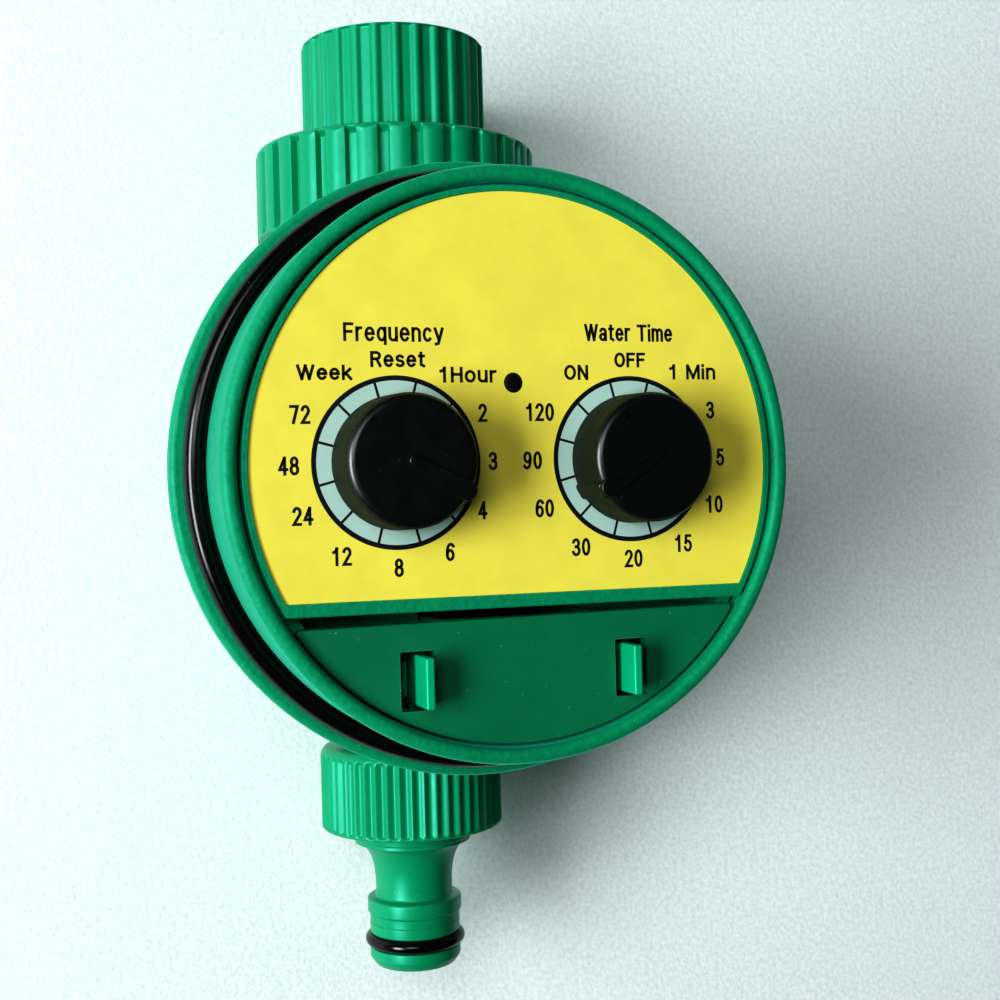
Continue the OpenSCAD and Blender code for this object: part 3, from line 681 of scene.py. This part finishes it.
def panel():
    """The yellow panel, with holes for the shafts and the lamp."""
    sheet = raised("panel", segment(panel_r, -chord, True, 0.1), panel_back, face_out, on_face(), 0.06)
    combined(sheet, "DIFFERENCE", *face_holes(0.6, panel_back - 1))
    return piece(sheet, "timer_body", panel_yellow, "panel_yellow", "dial_panel")


def flat_ring(name, outer, inner, at, low, high):
    """A thin ring printed round a dial."""
    corners = [(inner, low), (outer, low), (outer, high), (inner, high)]
    return turned(name, corners, on_face(*at), 180)


def dial_print(dial):
    """The pale ring round a knob, its black outline and the twelve marks between the settings."""
    at = dial_at[dial]
    pale = flat_ring(dial + "_ring", 11.3, shaft_r + 1, at, face_out - 0.02, face_out + 0.02)
    piece(pale, "timer_body", ring_blue, "panel_yellow")
    outline = flat_ring(dial + "_marks", 11.75, 11.1, at, face_out - 0.02, face_out + 0.04)
    bm = bmesh.new()
    bm.from_mesh(outline.data)
    place = on_face(*at)
    marks = 12
    for k in range(marks):
        direction = TURN * (k + 0.5) / marks
        out = Vector((sin(direction), cos(direction)))
        side = Vector((out.y, -out.x)) * 0.17
        corners = [out * 11.2 + side, out * 11.2 - side, out * 8.6 - side, out * 8.6 + side]
        levels = (face_out, face_out + 0.035)
        rings = [[bm.verts.new(place(c.x, c.y, level) * MM) for c in corners] for level in levels]
        bm.faces.new(rings[0])
        bm.faces.new(rings[1])
        bridge(bm, rings)
    bmesh.ops.recalc_face_normals(bm, faces=bm.faces)
    bm.to_mesh(outline.data)
    bm.free()
    piece(outline, "timer_body", ink_black, "panel_yellow")


def bow(cx, cy, rx, ry, start, end):
    """A pen stroke along part of an ellipse, between two angles in degrees."""
    steps = max(4, round(abs(end - start) / 14))
    angles = [radians(start + (end - start) * k / steps) for k in range(steps + 1)]
    return [(cx + rx * cos(a), cy + ry * sin(a)) for a in angles]


# each letter's width and pen strokes, in heights of a capital
LETTERS = {
    "0": (0.42, [bow(0.21, 0.5, 0.21, 0.5, 0, 360)]),
    "1": (0.42, [[(0.06, 0.77), (0.19, 0.83), (0.26, 1.0)], [(0.26, 1.0), (0.26, 0)]]),
    "2": (0.42, [bow(0.21, 0.74, 0.2, 0.26, 165, -35) + [(0, 0), (0.42, 0)]]),
    "3": (0.42, [bow(0.2, 0.76, 0.19, 0.24, 160, -90), bow(0.2, 0.27, 0.22, 0.27, 90, -160)]),
    "4": (0.42, [[(0.31, 0), (0.31, 1)], [(0.28, 0.94), (0, 0.28), (0.44, 0.28)]]),
    "5": (0.42, [[(0.38, 1), (0.09, 1), (0.05, 0.52)], bow(0.2, 0.32, 0.22, 0.32, 130, -160)]),
    "6": (0.42, [bow(0.21, 0.3, 0.2, 0.3, 0, 360), bow(0.26, 0.48, 0.25, 0.52, 195, 48)]),
    "7": (0.42, [[(0, 1), (0.42, 1), (0.15, 0)]]),
    "8": (0.42, [bow(0.21, 0.76, 0.18, 0.24, 0, 360), bow(0.21, 0.27, 0.21, 0.27, 0, 360)]),
    "9": (0.42, [bow(0.21, 0.7, 0.2, 0.3, 0, 360), bow(0.16, 0.52, 0.25, 0.52, 15, -132)]),
    "F": (0.44, [[(0, 0), (0, 1), (0.44, 1)], [(0, 0.52), (0.38, 0.52)]]),
    "H": (0.5, [[(0, 0), (0, 1)], [(0.5, 0), (0.5, 1)], [(0, 0.52), (0.5, 0.52)]]),
    "M": (0.66, [[(0, 0), (0, 1)], [(0.03, 1), (0.33, 0.05)], [(0.33, 0.05), (0.63, 1)],
                 [(0.66, 1), (0.66, 0)]]),
    "N": (0.5, [[(0, 0), (0, 1)], [(0.03, 1), (0.47, 0)], [(0.5, 0), (0.5, 1)]]),
    "O": (0.58, [bow(0.29, 0.5, 0.29, 0.5, 0, 360)]),
    "R": (0.52, [[(0, 0), (0, 1), (0.28, 1)] + bow(0.28, 0.76, 0.2, 0.24, 75, -90) + [(0, 0.52)],
                 [(0.3, 0.5), (0.5, 0)]]),
    "T": (0.58, [[(0, 1), (0.58, 1)], [(0.29, 1), (0.29, 0)]]),
    "W": (0.86, [[(0, 1), (0.22, 0)], [(0.22, 0), (0.43, 1)], [(0.43, 1), (0.64, 0)],
                 [(0.64, 0), (0.86, 1)]]),
    "a": (0.42, [bow(0.2, 0.56, 0.19, 0.2, 160, 0) + [(0.4, 0)], bow(0.18, 0.2, 0.19, 0.2, 0, 360)]),
    "c": (0.4, [bow(0.21, 0.38, 0.21, 0.38, 45, 315)]),
    "e": (0.44, [[(0.02, 0.4), (0.44, 0.4)] + bow(0.22, 0.38, 0.22, 0.38, 8, 318)]),
    "i": (0.0, [[(0, 0), (0, 0.7)], [(0, 1.01), (0, 1.04)]]),
    "k": (0.42, [[(0, 0), (0, 1)], [(0.02, 0.3), (0.38, 0.76)], [(0.16, 0.42), (0.42, 0)]]),
    "m": (0.72, [[(0, 0), (0, 0.76)], bow(0.18, 0.54, 0.18, 0.22, 170, 0) + [(0.36, 0)],
                 bow(0.54, 0.54, 0.18, 0.22, 170, 0) + [(0.72, 0)]]),
    "n": (0.4, [[(0, 0), (0, 0.76)], bow(0.2, 0.52, 0.2, 0.24, 165, 0) + [(0.4, 0)]]),
    "o": (0.46, [bow(0.23, 0.38, 0.23, 0.38, 0, 360)]),
    "q": (0.42, [bow(0.21, 0.38, 0.21, 0.38, 0, 360), [(0.42, 0.76), (0.42, -0.22)]]),
    "r": (0.26, [[(0, 0), (0, 0.76)], bow(0.22, 0.5, 0.22, 0.26, 165, 85)]),
    "s": (0.4, [bow(0.2, 0.57, 0.18, 0.19, 35, 235) + bow(0.2, 0.19, 0.2, 0.19, 65, -145)]),
    "t": (0.26, [[(0.1, 0.98), (0.1, 0.1), (0.26, 0)], [(0, 0.76), (0.26, 0.76)]]),
    "u": (0.4, [[(0, 0.76)] + bow(0.2, 0.24, 0.2, 0.24, 180, 350), [(0.4, 0.76), (0.4, 0)]]),
    "y": (0.44, [[(0, 0.76), (0.22, 0.04)], [(0.44, 0.76), (0.18, -0.18), (0.04, -0.22)]]),
    " ": (0.12, []),
}

# every word: its text, the middle of its foot across and up from its dial's middle, its width and height
WORDS = {
    "frequency": [
        ("Frequency", 0.0, 16.3, 13.95, 2.5), ("Reset", 0.43, 12.85, 7.6, 2.15),
        ("Week", -9.67, 11.1, 7.5, 2.05), ("1Hour", 10.28, 10.8, 8.4, 2.15),
    ],
    "water_time": [
        ("Water Time", 0.18, 16.7, 13.6, 2.4), ("OFF", 0.24, 13.0, 4.75, 2.1),
        ("ON", -8.03, 11.2, 3.6, 2.1), ("1 Min", 9.98, 11.3, 7.5, 2.15),
    ],
}
# every number: its text and its middle across and up from its dial's middle
NUMBERS = {
    "frequency": [
        ("2", 12.27, 6.65), ("3", 13.6, 0), ("4", 11.9, -6.73), ("6", 7.08, -12.28), ("8", -0.15, -14.15),
        ("12", -8.0, -12.35), ("24", -13.07, -6.85), ("48", -14.75, -0.2), ("72", -13.1, 6.55),
    ],
    "water_time": [
        ("3", 12.78, 6.87), ("5", 14.2, 0), ("10", 13.0, -6.8), ("15", 7.88, -12.3), ("20", 0.03, -14.18),
        ("30", -7.98, -12.3), ("60", -13.3, -6.7), ("90", -14.9, 0), ("120", -13.67, 6.7),
    ],
}


def labels(dial):
    """A dial's words and numbers, each as a word is given."""
    height = 2.5
    made = list(WORDS[dial])
    for text, across, up in NUMBERS[dial]:
        made.append((text, across, up - height / 2, 1.27 + 1.48 * (len(text) - 1), height))
    return made


def stroke(bm, path, half, place):
    """One pen stroke of even width as a thin raised strip, with square ends unless it closes on itself."""
    loop = (path[0] - path[-1]).length < 1e-6
    if loop:
        path = path[:-1]
    else:
        path = path.copy()
        path[0] = path[0] + (path[0] - path[1]).normalized() * half
        path[-1] = path[-1] + (path[-1] - path[-2]).normalized() * half
    rings = []
    for k, here in enumerate(path):
        last = path[k - 1] if loop or k else None
        following = path[(k + 1) % len(path)] if loop or k + 1 < len(path) else None
        one = (here - last).normalized() if last else (following - here).normalized()
        two = (following - here).normalized() if following else one
        along = (one + two).normalized()
        side = Vector((-along.y, along.x)) * half / max(0.5, along.dot(one))
        corners = [(here + side, 0), (here + side, 0.03), (here - side, 0.03), (here - side, 0)]
        rings.append([bm.verts.new(place(p.x, p.y, face_out + rise) * MM) for p, rise in corners])
    if not loop:
        bm.faces.new(rings[0])
        bm.faces.new(rings[-1])
    bridge(bm, rings, loop)


def legend():
    """The printed numbers and words of both dials, as thin ink on the panel."""
    bm = bmesh.new()
    half = 0.19
    spare = 1.2 * half
    gap = 0.18
    for dial, at in dial_at.items():
        for text, across, foot, width, height in labels(dial):
            gaps = len(text) - 1
            letters = [LETTERS[c] for c in text]
            scale = (width - 2 * half - gaps * spare) / (sum(wide for wide, _ in letters) + gaps * gap)
            x = across - width / 2 + half
            for wide, paths in letters:
                for path in paths:
                    points = [(x + px * scale, foot + half + py * (height - 2 * half)) for px, py in path]
                    stroke(bm, [Vector(p) for p in points], half, on_face(*at))
                x += (wide + gap) * scale + spare
    obj = mesh_object("legend", bm, weld=False)
    return piece(obj, "timer_body", ink_black, "panel_yellow")


def lamp():
    """A small dark lens, slightly domed, in its hole in the panel."""
    shoulder_r = lamp_r + 0.6
    path = rounded([
        (0, face_out - 8), (shoulder_r, face_out - 8), (shoulder_r, face_out - 3), (lamp_r, face_out - 3),
        (lamp_r, face_out - 0.12, 0.2),
    ], closed=False)
    path += [(lamp_r * 0.7, face_out - 0.03), (lamp_r * 0.35, face_out), (0, face_out + 0.01)]
    lens = turned("lamp_lens", path, on_face(*lamp_at), 48, closed=False)
    return piece(lens, "timer_body", knob_black, "black_plastic", "indicator_lamp")


# ---- knobs ----


def knob(dial, turn):
    """A pointer knob: a shell on a hub, a ridge across its top and a rib down its side."""
    place = on_face(*dial_at[dial])
    bore_r, hub_r, inner_r = shaft_r + 0.02, shaft_r + 1.6, 7.5
    draft = 0.12
    path = rounded([
        (0, 6.4), (bore_r, 6.4), (bore_r, 0), (hub_r, 0, 0.2), (hub_r, 7.3, 0.5), (inner_r, 7.3, 0.5),
        (inner_r, 0, 0.15), (knob_r + draft, 0, 0.2), (knob_r - draft, knob_h, 1.25), (0, knob_h),
    ], closed=False, step=10)
    body = turned(dial + "_pointer_knob", [(r, knob_back + h) for r, h in path], place, 160, closed=False)
    top = knob_back + knob_h
    tip = 1.35
    reach = knob_r + 0.45
    bar = tapered_bar(reach - tip, 0.75, tip, -turn)
    ridge = raised("ridge", bar, top - 1, top + ridge_h, place, 0.2)
    spin = Matrix.Rotation(radians(-turn), 2)

    def turned_place(x, y, out):
        across, up = spin @ Vector((x, y))
        return place(across, up, out)

    rib = rectangle(-1.25, 1.25, knob_r - 1.6, reach, 0.6)
    combined(body, "UNION", ridge, raised("rib", rib, knob_back, top - 0.2, turned_place, 0.3))
    # The sides get the satin material with the painted reflection of the panel; the top stays black
    body.data.materials.clear()
    for material in (knob_black, knob_satin_painted_reflection):
        body.data.materials.append(material)
    for face in body.data.polygons:
        face.material_index = 1 if abs(face.normal.y) < 0.5 else 0
    return piece(body, dial + "_dial", None, "black_plastic", dial + "_knob", sharp=40)


# ---- battery tray ----


def moved_to_pivot(obj, s):
    """Moves an upright shape from the pipe's axis to the left (s = -1) or right (s = 1) latch's pivot."""
    obj.data.transform(Matrix.Translation(Vector((s * pivot_across, -pivot_out, 0)) * MM))
    return obj


def tray():
    """The crescent cover with its two slots, and the open box behind it."""
    place = on_face()
    front = segment(cover_r, -cover_top, False, 0.55, cover_tilt)
    cover = raised("tray", front, cover_out - cover_t, cover_out, place, 0.35, 0.2)
    box = block(-box_half, box_half, box_low, box_top, 13.1, cover_out - 1, 0.3)
    combined(cover, "UNION", box)
    cover_back = cover_out - cover_t
    box_wall = 1
    cavity_half = box_half - box_wall
    cavity = block(-cavity_half, cavity_half, box_low + box_wall, -12, 5, cover_back, 0.2)
    slots = []
    for s in (-1, 1):
        across = slot_shift + s * 15.75
        opening = rectangle(across - 2.45, across + 2.45, -33.2, -25.1, 0.35)
        slots.append(raised("slot", opening, cover_back - 2, cover_out + 2, place, 0))
    combined(cover, "DIFFERENCE", cavity, *slots)
    keel = block(-0.25, 0.25, -33, -30.4, 13.1, cover_back + 0.2, 0.1)
    feet = (box_low, -25.1)
    lugs = [side_block(s, 11.7, 15.3, z, z + 1, 53.4, 56.6, 0.15) for z in feet for s in (-1, 1)]
    pins = [moved_to_pivot(bore(0.8, drum_z - 24.5, drum_z - 33.5), s) for s in (-1, 1)]
    combined(cover, "UNION", keel, *lugs, *pins)
    cover.name = "battery_tray_cover"
    return piece(cover, "battery_tray", cover_green, "deep_green_plastic", "battery_tray")


def latch(side, s):
    """The left (s = -1) or right (s = 1) latch tab, with its barrel and its catch."""
    low, high = span("latch_" + side)
    across = slot_shift + s * 15.1
    bottom = low.z - drum_z + 0.1
    foot = drum_z + bottom
    outline = rectangle(across - 0.65, across + 0.65, bottom + 0.1, bottom + 7.1, 0.3)
    tab = raised("tab", outline, 54.5, -low.y, on_face(), 0.32)
    barrel = raised("barrel", disc(1.5, steps=40), foot - 0.1, foot + 7.3, on_pipe, 0.15, 0.15)
    catch = side_block(s, 15.65, 16.35, bottom + 0.9, bottom + 5.9, 55.4, 57, 0.15)
    combined(tab, "UNION", moved_to_pivot(barrel, s), catch)
    hole = raised("hole", disc(0.86, steps=40), foot - 2, foot + 9, on_pipe, 0)
    combined(tab, "DIFFERENCE", moved_to_pivot(hole, s))
    tab.name = "latch_tab_" + side
    return piece(tab, "latch_" + side, latch_green_painted_light, "green_plastic", "latch_" + side)


def cell(node):
    """An AAA cell: a steel can in a printed sleeve with a copper band, its pip at one end."""
    low, high = span(node)
    radius = (high.x - low.x) / 2
    across, up = middle(node)
    length = high.y - low.y
    path = rounded([
        (0, 0), (1.9, 0, 0.3), (1.9, 1.0), (4.3, 1.0), (4.6, 1.3), (radius - 0.15, 1.3, 0.3),
        (radius, 1.7, 0.05), (radius, length - 0.4, 0.3), (radius - 0.5, length - 0.05, 0.1),
        (radius - 0.8, length - 0.2), (0, length - 0.2),
    ], closed=False)
    start, sign = (-high.y, 1) if node == "battery_1" else (-low.y, -1)
    path = [(r, start + sign * h) for r, h in path]
    can = turned("cell_" + node[-1], path, on_face(across, up), 96, closed=False)
    for material in (plated_steel, cell_wrap, copper_wrap):
        can.data.materials.append(material)
    for face in can.data.polygons:
        along = sign * (-face.center.y / MM - start)
        reach = hypot(face.center.x / MM - across, face.center.z / MM - drum_z - up)
        if reach > radius - 0.3 and along > 1.4:
            face.material_index = 2 if along < 13 else 1
    return piece(can, "battery_tray", None, "steel", node)


# ---- water way ----


def tap_adaptor():
    """The ribbed collar on the tap: narrow ribs outside, the tap's thread inside."""
    crest, core, rib = adaptor_r, adaptor_r - 0.65, 0.95
    tap_r, spigot_r = 12.06, 15.1
    foot = adaptor_low.z
    count = 28

    def groove(share):
        angle = share * TURN / count
        reach = rib**2 - ((crest - rib) * sin(angle)) ** 2
        ridge = (crest - rib) * cos(angle) + sqrt(reach) if reach > 0 else 0
        return max(core, ridge)

    outside = ribs(count, -18.1, 0.05, 0.5, groove)
    tap_thread = thread(tap_r, -1.0, G34_PITCH, -12.0, -0.6)
    nut_thread = thread(spigot_r, 1.1, G1_PITCH, foot + 0.3, -19.7)

    def shape(radius, height, angle):
        if radius > crest - 0.6 and height > -18.4:
            return outside(radius, height, angle)
        return nut_thread(tap_thread(radius, height, angle), height, angle)

    path = rounded([(12.7, 0), (crest, 0, 0.3), (crest, -0.38)], closed=False)
    path += [(crest, height) for height in (-0.46, -0.6, -17.5, -17.65, -17.8, -17.95)]
    path += rounded([(crest, -18.0), (crest, -18.3, 0.2), (14.6, -18.3, 0.2), (14.6, -19.4)], closed=False)
    path += wall(spigot_r, -19.6, foot + 0.4, 0.2)
    path += rounded([
        (14.7, foot), (11.5, foot, 0.2), (11.5, -17.5, 0.2), (8, -17.5, 0.3), (8, -15, 0.3),
        (13.1, -15, 0.1), (13.1, -12.5), (tap_r, -12.4),
    ], closed=False)
    path += wall(tap_r, -12.2, -0.5, 0.16)
    path.append((12.3, -0.2))
    collar = turned("tap_collar", path, steps=count * 16, shape=shape)
    return piece(collar, "tap_adaptor", smooth_green, "green_plastic", "tap_adaptor")


def swivel_nut():
    """The big nut: broad ribs with narrow grooves below a smooth rounded rim."""
    top, bottom = nut_high.z, nut_low.z
    count = 28

    def groove(share):
        crown = min(0.4, 0.35 * (share / 0.33) ** 2)
        return nut_r - crown - 1.1 * eased((share - 0.31) / 0.075)

    outside = ribs(count, bottom + 0.2, top - 0.1, 1.6, groove)

    def shape(radius, height, angle):
        return outside(radius, height, angle) if radius > nut_r - 1.45 else radius

    path = rounded([(15.9, top), (nut_r, top, 1.3), (nut_r, top - 1.4)], closed=False, step=6)
    path += [(nut_r, top - drop) for drop in (1.55, 1.7)]
    path += [(nut_r, bottom + rise) for rise in (1.8, 1.2, 0.7)]
    path += rounded([
        (nut_r, bottom + 0.5), (nut_r, bottom, 0.4), (22.2, bottom, 0.2), (22.2, -21.4, 0.8),
        (18.4, -21.4, 0.8), (18.4, bottom, 0.3), (12.48, bottom, 0.3), (12.48, -32.55), (15.2, -32.55),
        (15.2, top - 0.6), (15.5, top - 0.2),
    ], closed=False)
    nut = turned("swivel_nut", path, steps=count * 16, shape=shape)
    return piece(nut, "inlet_nut", smooth_green, "green_plastic", "inlet_nut")


def hose_connector():
    """The knurled connector and its click-on nozzle."""
    top, low, end = connector_top, grip_low, nozzle_end
    count = 48
    neck, flare, collar, seat, lip, ring_r = 6.8, 3.5, 8.35, 7.98, 8.05, 6.72
    bore_r, socket_r, shoulder = 5.0, 12.08, -136.3

    def groove(share):
        return connector_r - 0.55 * (0.5 - 0.5 * cos(TURN * share)) ** 0.8

    outside = ribs(count, low + 0.1, top - 0.9, 0.9, groove)

    def shape(radius, height, angle):
        return outside(radius, height, angle) if radius > connector_r - 0.9 and height > low else radius

    path = rounded([(12.4, top), (connector_r, top, 1.9), (connector_r, top - 2.1)], closed=False, step=6)
    path += [(connector_r, top - 2.3), (connector_r, low + 0.9)]
    path += rounded([
        (connector_r, low + 0.7), (connector_r, low, 0.5), (10.6, low, 0.3), (10.5, low - 2.1, 0.3),
        (10.3, low - 2.3),
    ], closed=False)
    for k in range(13):
        a = radians(7.5 * k)
        path.append((neck + flare * (1 - sin(a)), low - 2.8 - 2.1 * flare * (1 - cos(a))))
    path += rounded([
        (neck, end + 13.5), (neck + 0.05, end + 12, 0.5), (collar, end + 11.75, 0.5),
        (collar, end + 9.3, 0.3), (seat, end + 9, 0.15), (seat, end + 7.6), (seat - 0.08, end + 7.5),
        (seat, end + 7.4), (seat, end + 5.6, 0.15), (ring_r, end + 5.6), (ring_r, end + 3.1),
        (lip, end + 3.1, 0.2), (lip, end + 1.3, 0.8), (7.1, end, 0.3), (bore_r, end, 0.3),
        (bore_r, shoulder, 0.2), (socket_r, shoulder - 0.05, 0.1), (socket_r, top - 0.3),
    ], closed=False)
    body = turned("hose_connector_body", path, steps=count * 10, shape=shape)
    return piece(body, "hose_connector", smooth_green, "green_plastic", "hose_connector")


def nozzle_seal():
    """The black ring on the nozzle."""
    low, high = span("nozzle_seal")
    cord = (high.z - low.z) / 2
    path = arc(high.x - cord, low.z + cord, cord, 0, 345, 23)
    ring = turned("nozzle_ring", path, steps=128)
    return piece(ring, "hose_connector", seal_black, "black_rubber", "nozzle_seal")


def filter_cone():
    """The inlet's filter: a cone of woven wire on a moulded rim."""
    low, high = span("inlet_filter")
    top = high.z
    slope = [(7.3 - 0.36 * k, top - 1.4 - 1.02 * k) for k in range(14)]
    cone = turned("filter_mesh", slope, steps=48, closed=False)
    wires = cone.modifiers.new("wires", "WIREFRAME")
    wires.thickness = 0.22 * MM
    wires.use_replace = True
    apply_modifiers(cone)
    piece(cone, "timer_body", plated_steel, "steel")
    corners = [(9.2, top - 1.2, 0.2), (9.2, top, 0.3), (6.9, top, 0.3), (6.9, top - 1.6, 0.2)]
    rim = turned("filter_rim", rounded(corners), steps=96)
    return piece(rim, "timer_body", acetal, "steel", "inlet_filter")


# ---- what keeps its CAD shape ----

CAD_MATERIALS = {
    seal_black: ["casing_seal", "tap_washer", "inlet_washer", "stem_seal_inner", "stem_seal_outer",
                 "outlet_washer"],
    part_black: ["frequency_switch", "water_time_switch", "controller_chip", "driver_chip",
                 "position_disc", "position_sensor"],
    plated_steel: ["frequency_shaft", "water_time_shaft", "capacitor", "bridge_contact", "terminal_1",
                   "terminal_2", "second_pin", "first_pin", "motor", "motor_shaft"]
    + [f"{holder}_screw_{k}" for holder in ("board", "gearbox") for k in (1, 2, 3)],
    brass_tone: ["valve_stem", "motor_pinion"],
    polished_ball: ["valve_ball"],
    acetal: ["seat_retainer", "upper_seat", "lower_seat", "gearbox_base", "gearbox_cover", "output_gear",
             "second_idler", "first_idler", "motor_socket"],
    board_green: ["circuit_board"],
}


def dress_cad_nodes():
    """Gives every CAD node that stays visible its material."""
    for material, names in CAD_MATERIALS.items():
        for name in names:
            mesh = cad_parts[name].data
            mesh.materials.clear()
            mesh.materials.append(material)


# ---- stage, light and camera ----


def backdrop():
    """A pale board behind the timer, seen from the front only, so that it hides nothing in other views."""
    s = Shader("board_pale", 0.55)
    mottle = s.between(s.noise(1.0, 3), 0.35, 0.65)
    s.feed("Base Color", s.mixed(mottle, (0.58, 0.63, 0.63), (0.67, 0.725, 0.725)))
    s.bumps((s.noise(0.8, 3), 0.18, 0.7))
    output = s.tree.nodes["Material Output"]
    clear = s.node("ShaderNodeBsdfTransparent").outputs[0]
    behind = s.node("ShaderNodeNewGeometry").outputs["Backfacing"]
    both = s.node("ShaderNodeMixShader", {0: behind, 1: s.surface.outputs[0], 2: clear})
    s.tree.links.new(both.outputs[0], output.inputs["Surface"])
    half = 2500
    depth = nut_r + 0.3
    corners = [(-half, -half), (half, -half), (half, half), (-half, half)]
    mesh = bpy.data.meshes.new("backdrop")
    mesh.from_pydata([Vector((x, depth, z)) * MM for x, z in corners], [], [(0, 1, 2, 3)])
    obj = bpy.data.objects.new("backdrop", mesh)
    bpy.context.scene.collection.objects.link(obj)
    obj.data.materials.append(s.material)
    obj.visible_shadow = False
    return obj


# the point that the camera and the lights face
AIM = Vector((9.63, -25, drum_z - 4.87))


def area_light(name, azimuth, elevation, distance, size, power, colour):
    """A soft light in a direction seen from the front, at an elevation above the face, facing the timer."""
    a, e = radians(azimuth), radians(elevation)
    direction = Vector((cos(e) * cos(a), -sin(e), cos(e) * sin(a)))
    data = bpy.data.lights.new(name, "AREA")
    data.shape = "RECTANGLE"
    data.size, data.size_y = size[0] * MM, size[1] * MM
    data.energy = power
    data.color = colour
    obj = bpy.data.objects.new(name, data)
    bpy.context.scene.collection.objects.link(obj)
    obj.location = (AIM + direction * distance) * MM
    obj.rotation_euler = direction.to_track_quat("Z", "Y").to_euler()
    return obj


def lights(board):
    """A broad window on the left, weaker light above and behind, and a fill that reaches the board only."""
    area_light("window", 182, 33, 1500, (480, 900), 21.0, (0.93, 1.0, 1.0))
    area_light("sky", 148, 60, 1100, (420, 420), 2.6, (0.97, 1.0, 0.99))
    area_light("behind", 20, -60, 1500, (900, 900), 8.0, (1, 1, 1))
    fill = area_light("fill", 178, 46, 2500, (500, 500), 11.0, (1, 1, 1))
    lit_by_fill = bpy.data.collections.new("lit_by_fill")
    lit_by_fill.objects.link(board)
    fill.light_linking.receiver_collection = lit_by_fill
    world = bpy.data.worlds.new("pale")
    world.use_nodes = True
    background = world.node_tree.nodes["Background"]
    background.inputs["Color"].default_value = (0.80, 0.90, 0.90, 1)
    background.inputs["Strength"].default_value = 0.06
    bpy.context.scene.world = world
    bpy.context.scene.view_settings.view_transform = "Standard"
    bpy.context.scene.view_settings.look = "High Contrast"


def camera():
    """The camera at the photograph's angle: to the left of the face, level, and turned a little."""
    azimuth, elevation, roll = radians(-18.98), radians(-0.03), radians(-1.52)
    back = Vector((sin(azimuth) * cos(elevation), -cos(azimuth) * cos(elevation),
                   sin(elevation)))
    data = bpy.data.cameras.new("camera")
    data.angle = radians(38.25)
    data.clip_start, data.clip_end = 0.01, 20
    obj = bpy.data.objects.new("camera", data)
    bpy.context.scene.collection.objects.link(obj)
    obj.location = (AIM + back * 238.32) * MM
    obj.rotation_mode = "QUATERNION"
    obj.rotation_quaternion = (-back).to_track_quat("-Z", "Y") @ Quaternion((0, 0, 1), roll)
    bpy.context.scene.camera = obj


camera()
drum_and_pipe()
cover_seal()
casing()
panel()
for dial_name in DIALS:
    dial_print(dial_name)
legend()
lamp()
for dial_name, pointer in (("frequency", 120), ("water_time", 240)):
    knob(dial_name, pointer)
tray()
for side_name, side_sign in (("left", -1), ("right", 1)):
    latch(side_name, side_sign)
for cell_name in ("battery_1", "battery_2"):
    cell(cell_name)
tap_adaptor()
swivel_nut()
hose_connector()
nozzle_seal()
filter_cone()
dress_cad_nodes()
lights(backdrop())
